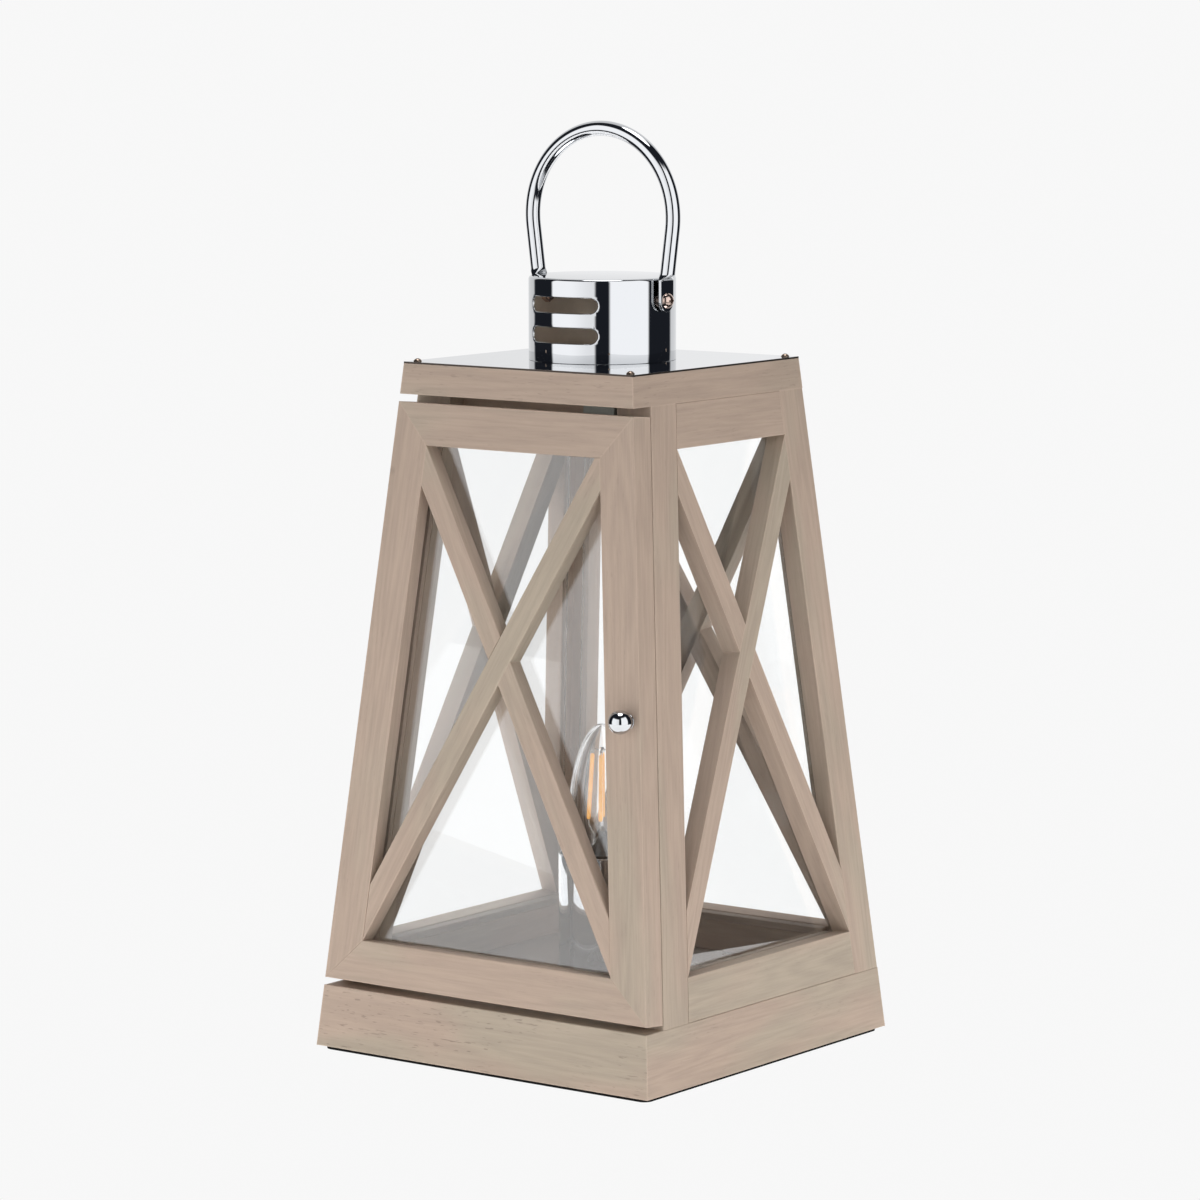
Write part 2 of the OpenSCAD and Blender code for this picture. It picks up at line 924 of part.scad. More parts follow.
module leaf_screw_spots() {
    for (y = [-hinge_len / 3, hinge_len / 3])
        translate([pin_out + leaf_w * 0.6, y, run_gap])
            rotate([180, 0, 0])
                children();
}

// Knuckles: the post leaf has the outer ones and the door leaf the middle one
module own_knuckles(on_door) {
    for (i = [0 : knuckle_count - 1])
        if ((i % 2 == 1) == on_door)
            translate([0, (i - knuckle_count / 2) * knuckle_len + (on_door ? run_gap : 0), 0])
                children();
}

module hinge_leaf(on_door) {
    own_len = knuckle_len - (on_door ? 2 * run_gap : 0);
    difference() {
        leaf_side(on_door) {
            translate([pin_out, -hinge_len / 2, run_gap])
                cube([leaf_w, hinge_len, leaf_t]);
            own_knuckles(on_door) {
                translate([0, 0, run_gap])
                    cube([pin_out + merge, own_len, leaf_t]);
                rotate([-90, 0, 0])
                    cylinder(r = knuckle_r, h = own_len, $fn = fine_fn);
            }
        }
        translate([0, -hinge_len, 0])
            rotate([-90, 0, 0])
                cylinder(r = hinge_pin_r + pin_play, h = 2 * hinge_len, $fn = fine_fn);
        leaf_side(on_door)
            leaf_screw_spots() {
                translate([0, 0, -leaf_t - merge])
                    cylinder(r = leaf_screw_r + run_gap, h = leaf_t + 2 * merge, $fn = fine_fn);
                translate([0, 0, -leaf_screw_head_t])
                    cylinder(r = leaf_screw_head_r + run_gap, h = leaf_t, $fn = fine_fn);
            }
    }
}

// Recess for a leaf and holes for its screws
module hinge_cuts(on_door) {
    at_hinges()
        leaf_side(on_door) {
            translate([pin_out - merge, -hinge_len / 2 - run_gap, 0])
                cube([leaf_w + merge + run_gap, hinge_len + 2 * run_gap, run_gap + leaf_t]);
            leaf_screw_spots()
                translate([0, 0, -screw_len])
                    cylinder(r = leaf_screw_r + pin_play, h = screw_len, $fn = fine_fn);
        }
}

module hinge_leaves(on_door) {
    color(STEEL)
        at_hinges() hinge_leaf(on_door);
}

module hinge_screws(on_door) {
    color(STEEL)
        at_hinges()
            leaf_side(on_door)
                leaf_screw_spots() {
                    translate([0, 0, -leaf_screw_head_t])
                        cylinder(r = leaf_screw_head_r, h = leaf_screw_head_t, $fn = fine_fn);
                    translate([0, 0, -screw_len + 1])
                        cylinder(r = leaf_screw_r, h = screw_len - 1, $fn = fine_fn);
                }
}

pin_head_t = 0.7;

module hinge_pins() {
    color(STEEL)
        at_hinges() {
            translate([0, -hinge_len / 2 - pin_head_t, 0])
                rotate([-90, 0, 0])
                    cylinder(r = hinge_pin_r, h = hinge_len + 2 * pin_head_t, $fn = fine_fn);
            for (end = [-hinge_len / 2 - pin_head_t, hinge_len / 2])
                translate([0, end, 0])
                    rotate([-90, 0, 0])
                        cylinder(r = (hinge_pin_r + knuckle_r) / 2, h = pin_head_t, $fn = fine_fn);
        }
}

// ---- Lampholder and bulb ----

contact_h = 3;
holder_mouth_h = 3;
stem_nut_t = 4;
stem_grip = 8;
stem_wall = 1.2;
cover_top = floor_top + cover_h;
holder_z0 = floor_top + cover_wall + stem_nut_t + 4;
holder_top = cover_top - holder_drop;
glass_z0 = holder_top + 2;
cap_z0 = glass_z0 - bulb_cap_h;
nipple_z0 = floor_z0 - stem_nut_t - 4;

// The cover is a deep cup: it stands on the floor plate and the stem goes through its foot
module holder_cover() {
    color(CHROME)
        difference() {
            translate([0, 0, floor_top])
                cylinder(r = cover_r, h = cover_h, $fn = round_fn);
            translate([0, 0, floor_top + cover_wall])
                cylinder(r = cover_r - cover_wall, h = cover_h, $fn = round_fn);
            translate([0, 0, floor_top - merge])
                cylinder(r = nipple_r + run_gap, h = cover_wall + 2 * merge, $fn = fine_fn);
        }
}

module lamp_holder() {
    color([0.93, 0.92, 0.88])
        difference() {
            translate([0, 0, holder_z0])
                cylinder(r = holder_r, h = holder_top - holder_z0, $fn = round_fn);
            translate([0, 0, cap_z0 - contact_h])
                cylinder(r = bulb_cap_r + run_gap, h = cover_h, $fn = round_fn);
            translate([0, 0, holder_top - holder_mouth_h])
                cylinder(r = neck_r + run_gap, h = cover_h, $fn = round_fn);
            translate([0, 0, holder_z0 - merge])
                cylinder(r = nipple_r + pin_play, h = stem_grip + merge, $fn = fine_fn);
        }
}

module holder_contact() {
    translate([0, 0, cap_z0 - contact_h])
        cylinder(r = bulb_cap_r * 0.4, h = contact_h, $fn = fine_fn);
}

module stem_nut(z) {
    translate([0, 0, z])
        difference() {
            cylinder(r = nipple_r * 1.8, h = stem_nut_t, $fn = 6);
            translate([0, 0, -merge])
                cylinder(r = nipple_r + pin_play, h = stem_nut_t + 2 * merge, $fn = fine_fn);
        }
}

module stem_tube() {
    translate([0, 0, nipple_z0])
        difference() {
            cylinder(r = nipple_r, h = holder_z0 + stem_grip - nipple_z0, $fn = fine_fn);
            translate([0, 0, -merge])
                cylinder(r = nipple_r - stem_wall, h = reach, $fn = fine_fn);
        }
}

// The threaded tube with its two nuts, and the contact in the holder
module holder_fittings() {
    color(BRASS) {
        stem_tube();
        stem_nut(floor_z0 - stem_nut_t);
        stem_nut(floor_top + cover_wall);
        holder_contact();
    }
}

// Radius of the candle bulb at a share of its height: a swelling foot, then a drawn-out tip
belly = 0.46;
neck_r = bulb_r * 0.5;
bulb_steps = 24;
function foot_curve(q) = neck_r + (bulb_r - neck_r) * pow(sin(90 * q), 2);
function tip_curve(q) = bulb_r * sqrt(1 - pow(q, 1.5));
function bulb_radius(s) = s < belly ? foot_curve(s / belly) : tip_curve(min(1, (s - belly) / (1 - belly)));

module bulb_section(r_less, h_less) {
    polygon(concat([[0, 0]],
        [for (i = [0 : bulb_steps - 1])
            let (s = sin(90 * i / bulb_steps))
                [max(0.2, bulb_radius(s) - r_less), s * (bulb_h - h_less)]],
        [[0, bulb_h - h_less]]));
}

module bulb_envelope() {
    translate([0, 0, glass_z0])
        rotate_extrude($fn = round_fn)
            difference() {
                bulb_section(0, 0);
                translate([0, -merge])
                    bulb_section(bulb_wall, bulb_wall * 1.6);
            }
}

module bulb_cap() {
    thread_turns = 5;
    thread_pitch = bulb_cap_h * 0.1;
    color(CHROME)
        translate([0, 0, cap_z0]) {
            cylinder(r1 = bulb_cap_r * 0.45, r2 = bulb_cap_r * 0.8, h = 4, $fn = round_fn);
            translate([0, 0, 4])
                cylinder(r = bulb_cap_r - 0.5, h = bulb_cap_h - 4 - 4, $fn = round_fn);
            for (i = [0 : thread_turns - 1])
                translate([0, 0, 4 + (i + 0.5) * thread_pitch])
                    cylinder(r = bulb_cap_r, h = thread_pitch / 2, $fn = round_fn);
            translate([0, 0, bulb_cap_h - 4])
                cylinder(r1 = bulb_cap_r - 0.5, r2 = neck_r - bulb_wall, h = 4, $fn = round_fn);
        }
}

filament_z0 = glass_z0 + 23;
filament_foot_r = 7.2;
filament_top_r = 5;

bead_r = 1.7;
stem_rod_r = 0.7;
stem_foot_h = 17;

// The glass stem that carries the filaments, with a bead at its top
module bulb_stem() {
    bead_z = filament_z0 + filament_h + bead_r;
    translate([0, 0, glass_z0]) {
        cylinder(r1 = neck_r - 2 * bulb_wall, r2 = 1.5 * bead_r, h = stem_foot_h, $fn = fine_fn);
        cylinder(r = stem_rod_r, h = bead_z - glass_z0, $fn = fine_fn);
        translate([0, 0, bead_z - glass_z0])
            sphere(r = bead_r, $fn = fine_fn);
    }
}

module bulb_glass() {
    color(GLASS) {
        bulb_envelope();
        bulb_stem();
    }
}

module bulb_filaments() {
    slope = atan((filament_foot_r - filament_top_r) / filament_h);
    color([1, 0.72, 0.3])
        for (i = [0 : filament_count - 1])
            rotate([0, 0, (i + 0.35) * 360 / filament_count])
                translate([filament_foot_r, 0, filament_z0])
                    rotate([0, -slope, 0])
                        cylinder(r = filament_r, h = filament_h, $fn = fine_fn);
}

// ---- Cable gland ----

gland_flange_t = 1.6;
// How far the flange stands out of the wood it is let into
gland_proud = 0.3;
gland_nut_t = 4;

module gland_place() {
    on_face(BACK)
        translate([0, up_face(gland_z + pad_t), 0])
            children();
}

module gland_hole() {
    gland_place() {
        translate([0, 0, -plinth_t - gland_nut_t])
            cylinder(r = gland_body_r + pin_play, h = plinth_t + 2 * gland_nut_t, $fn = fine_fn);
        translate([0, 0, gland_proud - gland_flange_t])
            cylinder(r = gland_flange_r + run_gap, h = gland_nut_t, $fn = fine_fn);
    }
}

gland_len = plinth_t + gland_nut_t + 2;

module gland_body() {
    difference() {
        union() {
            translate([0, 0, -gland_len])
                cylinder(r = gland_body_r, h = gland_len, $fn = fine_fn);
            translate([0, 0, gland_proud - gland_flange_t])
                cylinder(r = gland_flange_r, h = gland_flange_t, $fn = fine_fn);
        }
        translate([0, 0, -gland_len - merge])
            cylinder(r = gland_bore_r, h = gland_len + gland_nut_t, $fn = fine_fn);
    }
}

module gland_nut() {
    translate([0, 0, -plinth_t - gland_nut_t])
        difference() {
            cylinder(r = gland_flange_r, h = gland_nut_t, $fn = 6);
            translate([0, 0, -merge])
                cylinder(r = gland_body_r + pin_play, h = gland_nut_t + 2 * merge, $fn = fine_fn);
        }
}

module cable_gland() {
    color(BLACK)
        gland_place() {
            gland_body();
            gland_nut();
        }
}

base_board();
plinth_board(FRONT);  // plinth_front
plinth_board(RIGHT);  // plinth_right
plinth_board(BACK);  // plinth_back
plinth_board(LEFT);  // plinth_left
floor_board();
floor_plate();
front_post(LEFT);  // post_front_left
front_post(RIGHT);  // post_front_right
back_post(LEFT);  // post_back_left
back_post(RIGHT);  // post_back_right
rail_top(RIGHT);  // right_rail_top
rail_bottom(RIGHT);  // right_rail_bottom
panel_brace(RIGHT, false);  // right_brace_over
panel_brace(RIGHT, true);  // right_brace_under
panel_glass(RIGHT);  // right_glass
left_of() rail_top(RIGHT);  // left_rail_top
left_of() rail_bottom(RIGHT);  // left_rail_bottom
left_of() panel_brace(RIGHT, false);  // left_brace_over
left_of() panel_brace(RIGHT, true);  // left_brace_under
left_of() panel_glass(RIGHT);  // left_glass
rail_top(BACK);  // back_rail_top
rail_bottom(BACK);  // back_rail_bottom
panel_brace(BACK, false);  // back_brace_over
panel_brace(BACK, true);  // back_brace_under
panel_glass(BACK);  // back_glass
glass_beads();
front_header();
head_board(FRONT);  // head_front
head_board(RIGHT);  // head_right
head_board(BACK);  // head_back
head_board(LEFT);  // head_left
cap_plate();
cap_screws();
vent_cup();
cup_rivets();
handle();
handle_screws();
door_rail_bottom();
door_stile_right();
door_rail_top();
door_stile_left();
door_brace(false);  // door_brace_over
door_brace(true);  // door_brace_under
door_glass();
door_knob();
catch_plate();
catch_body();
hinge_leaves(true);  // hinge_leaves_door
hinge_leaves(false);  // hinge_leaves_post
hinge_pins();
hinge_screws(true);  // hinge_screws_door
hinge_screws(false);  // hinge_screws_post
holder_cover();
lamp_holder();
holder_fittings();
bulb_cap();
bulb_glass();
bulb_filaments();
cable_gland();
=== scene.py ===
# %% [markdown]
# # A lantern table lamp, dressed for its portrait
# The lamp is a tapered wooden lantern on a low plinth. Three sides are glazed panels with a wooden
# cross, the front is a door on two hinges, and a polished plate on top carries a vent cup and a
# bail handle. The carpentry arrives exact from the construction model, so this script mostly
# decides how each surface looks, and builds anew only the pieces whose curves need to be finer
# than the construction model's facets: polished metal and blown glass show every facet.

import json
import math

import bmesh
import bpy
from mathutils import Matrix, Vector
from mathutils.geometry import delaunay_2d_cdt


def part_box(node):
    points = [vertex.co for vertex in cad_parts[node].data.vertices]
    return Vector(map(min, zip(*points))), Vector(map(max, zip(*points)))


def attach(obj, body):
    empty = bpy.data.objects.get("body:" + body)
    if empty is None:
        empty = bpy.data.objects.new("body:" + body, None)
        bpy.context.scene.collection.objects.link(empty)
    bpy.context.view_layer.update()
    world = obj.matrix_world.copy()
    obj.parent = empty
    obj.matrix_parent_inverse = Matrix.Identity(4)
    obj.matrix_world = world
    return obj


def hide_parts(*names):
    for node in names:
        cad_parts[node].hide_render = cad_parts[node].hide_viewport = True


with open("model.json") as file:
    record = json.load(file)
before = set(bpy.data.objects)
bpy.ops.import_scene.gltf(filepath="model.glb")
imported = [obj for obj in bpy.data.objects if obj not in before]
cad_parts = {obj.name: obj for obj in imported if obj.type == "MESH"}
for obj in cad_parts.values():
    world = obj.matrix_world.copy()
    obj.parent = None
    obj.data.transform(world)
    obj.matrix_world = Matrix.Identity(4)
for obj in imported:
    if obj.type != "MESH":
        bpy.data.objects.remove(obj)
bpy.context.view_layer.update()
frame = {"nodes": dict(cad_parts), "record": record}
nodes = frame["nodes"]

# %% [markdown]
# ## Measures that the new pieces share with the construction
# Blender works in metres. These are the measures of the lantern that the turned and bent pieces
# need again: the slope of the four sides, and the heights where the metalwork stands.

# %% Shared measures
MM = 0.001
FOOT_HALF = 110 * MM
TAPER = 35 / 366
PAD_T = 2 * MM
LEAN = math.atan(TAPER)
CAP_TOP = 369 * MM
PIVOT_Z = CAP_TOP + 32.6 * MM
FLOOR_TOP = 35.8 * MM
print(f"each side leans in by {math.degrees(LEAN):.2f} degrees")

# %% [markdown]
# ## Camera
# The photograph was taken from the right of the front corner, a little above the lamp, with a long
# lens: the near and the far edges of the plinth are almost parallel. The viewpoint was found by
# matching 34 corners of the lantern to the picture, which fixes distance and lens together.

# %% The camera
CAMERA_PLACE = Vector((1.5302, -2.0572, 0.5745))
CAMERA_AIM = Vector((-0.00115, -0.00087, 0.2397))
CAMERA_ROLL = math.radians(-0.069)

camera_data = bpy.data.cameras.new("portrait_camera")
camera_data.lens = 144.97
camera_data.sensor_width = 36
camera = bpy.data.objects.new("portrait_camera", camera_data)
camera.location = CAMERA_PLACE
level = (CAMERA_AIM - CAMERA_PLACE).to_track_quat("-Z", "Y").to_matrix()
camera.rotation_euler = (level @ Matrix.Rotation(CAMERA_ROLL, 3, "Z")).to_euler()
bpy.context.scene.collection.objects.link(camera)
bpy.context.scene.camera = camera
print("camera stands", round((CAMERA_AIM - CAMERA_PLACE).length, 3), "m away")

# %% [markdown]
# ## A small kit for wiring nodes
# Every finish here is a network of shader nodes. Writing each link out in full hides the idea, so
# a short helper adds a node, sets its inputs and links them: a value is set, a socket is linked.

# %% Wiring helpers
def add(tree, kind, inputs=(), **settings):
    node = tree.nodes.new(kind)
    for name, value in settings.items():
        setattr(node, name, value)
    for key, value in dict(inputs).items():
        if isinstance(value, bpy.types.NodeSocket):
            tree.links.new(value, node.inputs[key])
        else:
            node.inputs[key].default_value = value
    return node


def maths(tree, operation, first, second=0.0, third=0.0):
    inputs = {0: first, 1: second, 2: third}
    return add(tree, "ShaderNodeMath", inputs, operation=operation).outputs[0]


def vector_maths(tree, operation, first, second=(0, 0, 0)):
    node = add(tree, "ShaderNodeVectorMath", {0: first, 1: second}, operation=operation)
    return node.outputs["Value" if operation in ("DOT_PRODUCT", "LENGTH") else "Vector"]


def scaled(tree, vector, factor):
    inputs = {0: vector, "Scale": factor}
    return add(tree, "ShaderNodeVectorMath", inputs, operation="SCALE").outputs[0]


def remap(tree, value, low, high, to_low=0.0, to_high=1.0, smooth=True):
    inputs = {"Value": value, "From Min": low, "From Max": high,
              "To Min": to_low, "To Max": to_high}
    kind = "SMOOTHSTEP" if smooth else "LINEAR"
    return add(tree, "ShaderNodeMapRange", inputs, interpolation_type=kind).outputs[0]


def mixed(tree, share, first, second, blend="MIX"):
    colors = {0: share, 6: first, 7: second}
    return add(tree, "ShaderNodeMix", colors, data_type="RGBA", blend_type=blend).outputs[2]


def toned(tree, color, tone):
    """A colour made lighter or darker by one factor."""
    grey = add(tree, "ShaderNodeCombineColor", {0: tone, 1: tone, 2: tone}).outputs[0]
    return mixed(tree, 1.0, color, grey, "MULTIPLY")


def noise(tree, vector, scale, detail=3.0, roughness=0.55, distortion=0.0):
    inputs = {"Vector": vector, "Scale": scale, "Detail": detail, "Roughness": roughness,
              "Distortion": distortion}
    return add(tree, "ShaderNodeTexNoise", inputs).outputs["Fac"]


def effect_group(name, sockets_in, sockets_out):
    tree = bpy.data.node_groups.new(name, "ShaderNodeTree")
    for direction, sockets in (("INPUT", sockets_in), ("OUTPUT", sockets_out)):
        for label, kind, default in sockets:
            socket = tree.interface.new_socket(label, in_out=direction, socket_type=kind)
            if default is not None:
                socket.default_value = default
    return tree, tree.nodes.new("NodeGroupInput").outputs, tree.nodes.new("NodeGroupOutput").inputs


def use_group(tree, group, inputs=()):
    return add(tree, "ShaderNodeGroup", inputs, node_tree=group).outputs


FLOAT, VECTOR, COLOR = "NodeSocketFloat", "NodeSocketVector", "NodeSocketColor"
print("wiring kit ready")

# %% [markdown]
# ## Grain space
# Wood looks like wood because everything in it is drawn out along the trunk. One material can serve
# every board if each board carries its own grain direction. The direction is kept on the object as
# a custom property, and the group below squeezes space along it: any noise drawn in the squeezed
# space comes out stretched along the grain. A shift per board keeps two boards from matching.

# %% Group: grain space
grain_space, g_in, g_out = effect_group(
    "Grain space",
    [("Axis", VECTOR, (0, 0, 1)), ("Shift", VECTOR, (0, 0, 0)), ("Stretch", FLOAT, 10.0)],
    [("Vector", VECTOR, None)],
)
here = add(grain_space, "ShaderNodeTexCoord").outputs["Object"]
along = vector_maths(grain_space, "DOT_PRODUCT", here, g_in["Axis"])
squeeze = maths(grain_space, "SUBTRACT", 1.0, maths(grain_space, "DIVIDE", 1.0, g_in["Stretch"]))
pulled = scaled(grain_space, g_in["Axis"], maths(grain_space, "MULTIPLY", along, squeeze))
flat = vector_maths(grain_space, "SUBTRACT", here, pulled)
grain_space.links.new(vector_maths(grain_space, "ADD", flat, g_in["Shift"]), g_out["Vector"])
print("group:", grain_space.name)

# %% [markdown]
# ## Washed wood
# The lantern is a pale, straight-grained softwood under a thin grey-brown wash. Up close the wash
# lets through broad pinkish and greenish patches, faint bands of growth along the grain, hair-fine
# fibres, and short dark pores where the stain has settled. Each of these is one noise in grain
# space, weak on its own; a single strong pattern would look printed. Edges are painted a little
# paler, a painted highlight along each arris: the group compares the true normal with a rounded
# one, and the two differ only beside an arris.

# %% Group: washed wood
BAND_TONE, DRIFT_TONE, FIBRE_TONE = 0.036, 0.05, 0.07
PORE_TONE, KNOT_TONE, EDGE_HIGHLIGHT_TONE = 0.30, 0.28, 0.17
EDGE_REACH, KNOT_EDGE, KNOT_HEART = 1 * MM, 4.5 * MM, 1.2 * MM
PINKISH, GREENISH = (1.045, 0.975, 0.955, 1), (0.975, 0.99, 0.955, 1)
washed_wood, w_in, w_out = effect_group(
    "Washed wood",
    [("Axis", VECTOR, (0, 0, 1)), ("Shift", VECTOR, (0, 0, 0)),
     ("Wash", COLOR, (0.42, 0.355, 0.29, 1)),
     ("Warmth", FLOAT, 0.5), ("Pores", FLOAT, 0.5), ("Knot", VECTOR, (0, 0, -9)),
     ("Edge Highlight", FLOAT, 1.0)],
    [("Color", COLOR, None), ("Roughness", FLOAT, None), ("Height", FLOAT, None)],
)


def grain_noise(stretch, scale, detail, roughness=0.55):
    links = {"Axis": w_in["Axis"], "Shift": w_in["Shift"], "Stretch": stretch}
    vector = use_group(washed_wood, grain_space, links)["Vector"]
    return noise(washed_wood, vector, scale, detail, roughness)


patches = grain_noise(stretch=3.5, scale=26, detail=2)
drift = grain_noise(stretch=5, scale=60, detail=3)
bands_from = grain_noise(stretch=14, scale=45, detail=2)
bands = maths(washed_wood, "SINE", maths(washed_wood, "MULTIPLY", bands_from, 70.0))
fibres = grain_noise(stretch=22, scale=900, detail=4, roughness=0.65)
pore_field = grain_noise(stretch=8, scale=1150, detail=1)
pore_where = grain_noise(stretch=2, scale=38, detail=1)
pores = maths(washed_wood, "MULTIPLY", remap(washed_wood, pore_field, 0.64, 0.72),
              remap(washed_wood, pore_where, 0.34, 0.60))
pores = maths(washed_wood, "MULTIPLY", pores, w_in["Pores"])

board_spot = add(washed_wood, "ShaderNodeTexCoord").outputs["Object"]
from_knot = vector_maths(washed_wood, "SUBTRACT", board_spot, w_in["Knot"])
from_knot = vector_maths(washed_wood, "LENGTH", from_knot)
knot = remap(washed_wood, from_knot, KNOT_EDGE, KNOT_HEART)

pinkish = mixed(washed_wood, 1.0, w_in["Wash"], PINKISH, "MULTIPLY")
greenish = mixed(washed_wood, 1.0, w_in["Wash"], GREENISH, "MULTIPLY")
warm_share = maths(washed_wood, "ADD", remap(washed_wood, patches, 0.30, 0.70), w_in["Warmth"])
warm_share = remap(washed_wood, warm_share, 0.35, 1.15)
wash = mixed(washed_wood, warm_share, greenish, pinkish)
shade = maths(washed_wood, "ADD", 1.0, maths(washed_wood, "MULTIPLY", bands, BAND_TONE))
for streaks, tone in ((drift, DRIFT_TONE), (fibres, FIBRE_TONE)):
    lighter = remap(washed_wood, streaks, 0.25, 0.75, -tone, tone, False)
    shade = maths(washed_wood, "ADD", shade, lighter)
for mark, tone in ((pores, PORE_TONE), (knot, KNOT_TONE)):
    shade = maths(washed_wood, "SUBTRACT", shade, maths(washed_wood, "MULTIPLY", mark, tone))

# Painted highlight: the wash is made paler along each arris, whatever light falls there.
face_normal = add(washed_wood, "ShaderNodeNewGeometry").outputs["Normal"]
round_normal = add(washed_wood, "ShaderNodeBevel", {"Radius": EDGE_REACH}, samples=4).outputs[0]
facing = vector_maths(washed_wood, "DOT_PRODUCT", face_normal, round_normal)
edge = maths(washed_wood, "MULTIPLY", remap(washed_wood, facing, 0.995, 0.90), w_in["Edge Highlight"])
shade = maths(washed_wood, "ADD", shade, maths(washed_wood, "MULTIPLY", edge, EDGE_HIGHLIGHT_TONE))

washed_wood.links.new(toned(washed_wood, wash, shade), w_out["Color"])
roughness = remap(washed_wood, fibres, 0.2, 0.8, 0.66, 0.50, False)
washed_wood.links.new(roughness, w_out["Roughness"])
height = maths(washed_wood, "SUBTRACT", fibres, maths(washed_wood, "MULTIPLY", pores, 1.2))
washed_wood.links.new(height, w_out["Height"])
print("group:", washed_wood.name, "with", len(washed_wood.nodes), "nodes")

# %% [markdown]
# ## Handled metal and glass
# A polished surface is never even: fingers and wiping leave broad, very faint differences in
# gloss, and fine straight marks. The same group serves chrome, mirror plate, panes and bulb, with
# its strength set in each material, so it gives out only a roughness and a height.

# %% Group: wiping marks
wiping_marks, m_in, m_out = effect_group(
    "Wiping marks",
    [("Least", FLOAT, 0.02), ("Most", FLOAT, 0.08), ("Size", FLOAT, 40.0)],
    [("Roughness", FLOAT, None), ("Height", FLOAT, None)],
)
spot = add(wiping_marks, "ShaderNodeTexCoord").outputs["Object"]
smudge = noise(wiping_marks, spot, m_in["Size"], detail=4.0, roughness=0.5)
marks_space = add(wiping_marks, "ShaderNodeMapping", {"Vector": spot, "Scale": (1, 1, 9)}).outputs[0]
marks = noise(wiping_marks, marks_space, 420, detail=2.0)
fine_marks = maths(wiping_marks, "MULTIPLY", marks, 0.2)
gloss = maths(wiping_marks, "ADD", remap(wiping_marks, smudge, 0.35, 0.75), fine_marks)
gloss = remap(wiping_marks, gloss, 0, 1, m_in["Least"], m_in["Most"], False)
wiping_marks.links.new(gloss, m_out["Roughness"])
wiping_marks.links.new(marks, m_out["Height"])
print("group:", wiping_marks.name)

# %% [markdown]
# ## Cut rims
# The mirror plates are sheared from a polished sheet. Their thin rim, the faces that point neither
# up nor down, is made dark grey-brown and dull: it shows as a dark line round the top plate.

# %% Group: cut rim
# The rim faces get this dark colour and dullness, whatever light they get.
DARK_RIM_COLOR, DARK_RIM_ROUGHNESS = (0.085, 0.070, 0.060, 1), 0.45
cut_rim, r_in, r_out = effect_group(
    "Cut rim",
    [("Polish", COLOR, (0.6, 0.6, 0.6, 1)), ("Roughness", FLOAT, 0.03), ("Share", FLOAT, 1.0)],
    [("Color", COLOR, None), ("Roughness", FLOAT, None)],
)
rim_normal = add(cut_rim, "ShaderNodeNewGeometry").outputs["Normal"]
facing_up = add(cut_rim, "ShaderNodeSeparateXYZ", {0: rim_normal}).outputs["Z"]
rim_mask = remap(cut_rim, maths(cut_rim, "ABSOLUTE", facing_up), 0.35, 0.80, 1.0, 0.0)
rim_mask = maths(cut_rim, "MULTIPLY", rim_mask, r_in["Share"])
cut_rim.links.new(mixed(cut_rim, rim_mask, r_in["Polish"], DARK_RIM_COLOR), r_out["Color"])
dull = maths(cut_rim, "MULTIPLY", rim_mask, DARK_RIM_ROUGHNESS)
cut_rim.links.new(maths(cut_rim, "MAXIMUM", r_in["Roughness"], dull), r_out["Roughness"])
print("group:", cut_rim.name)

# %% [markdown]
# ## Moulded and painted surfaces
# Plastic, paint and zinc plating share a fine orange-peel texture and a slight unevenness of tone.

# %% Group: fine skin
fine_skin, s_in, s_out = effect_group(
    "Fine skin",
    [("Color", COLOR, (0.5, 0.5, 0.5, 1)), ("Least", FLOAT, 0.3), ("Most", FLOAT, 0.5),
     ("Size", FLOAT, 900.0), ("Unevenness", FLOAT, 0.1)],
    [("Color", COLOR, None), ("Roughness", FLOAT, None), ("Height", FLOAT, None)],
)
skin_spot = add(fine_skin, "ShaderNodeTexCoord").outputs["Object"]
peel = noise(fine_skin, skin_spot, s_in["Size"], detail=2.0, roughness=0.5)
cloud = noise(fine_skin, skin_spot, 70, detail=3.0)
uneven = remap(fine_skin, cloud, 0.3, 0.7, -1.0, 1.0)
uneven = maths(fine_skin, "MULTIPLY", uneven, s_in["Unevenness"])
tone = maths(fine_skin, "ADD", 1.0, uneven)
fine_skin.links.new(toned(fine_skin, s_in["Color"], tone), s_out["Color"])
skin_gloss = remap(fine_skin, cloud, 0.3, 0.7, s_in["Least"], s_in["Most"], False)
fine_skin.links.new(skin_gloss, s_out["Roughness"])
fine_skin.links.new(peel, s_out["Height"])
print("group:", fine_skin.name)

# %% [markdown]
# ## Materials
# Each material is one Principled surface fed by an effect group. A number that is the same all
# over, such as metallic or the index of refraction, sits on the shader itself. In the photograph a
# pale veil lies over all that is seen through the door's pane: the left light box, mirrored in it.
# Ordinary glass mirrors too little for that, so the two near panes bend light more strongly than
# window glass does, and the two far ones less, to keep the ground behind them even. Shadow rays
# pass straight through all glass, so the panes don't darken the lantern's inside.

# %% Material helpers
GRAIN_DEPTH, MARK_DEPTH, PEEL_DEPTH = 0.12 * MM, 0.02 * MM, 0.05 * MM
SHADOW_TINT = (0.97, 0.975, 0.975, 1)


def new_material(name, **fixed):
    material = bpy.data.materials.new(name)
    material.use_nodes = True
    tree = material.node_tree
    surface = tree.nodes["Principled BSDF"]
    for key, value in fixed.items():
        surface.inputs[key.replace("_", " ")].default_value = value
    return material, tree, surface


def feed_bump(tree, surface, height, distance, strength):
    inputs = {"Height": height, "Distance": distance, "Strength": strength}
    tree.links.new(add(tree, "ShaderNodeBump", inputs).outputs[0], surface.inputs["Normal"])


def own(tree, name):
    return add(tree, "ShaderNodeAttribute", attribute_name=name, attribute_type="OBJECT")


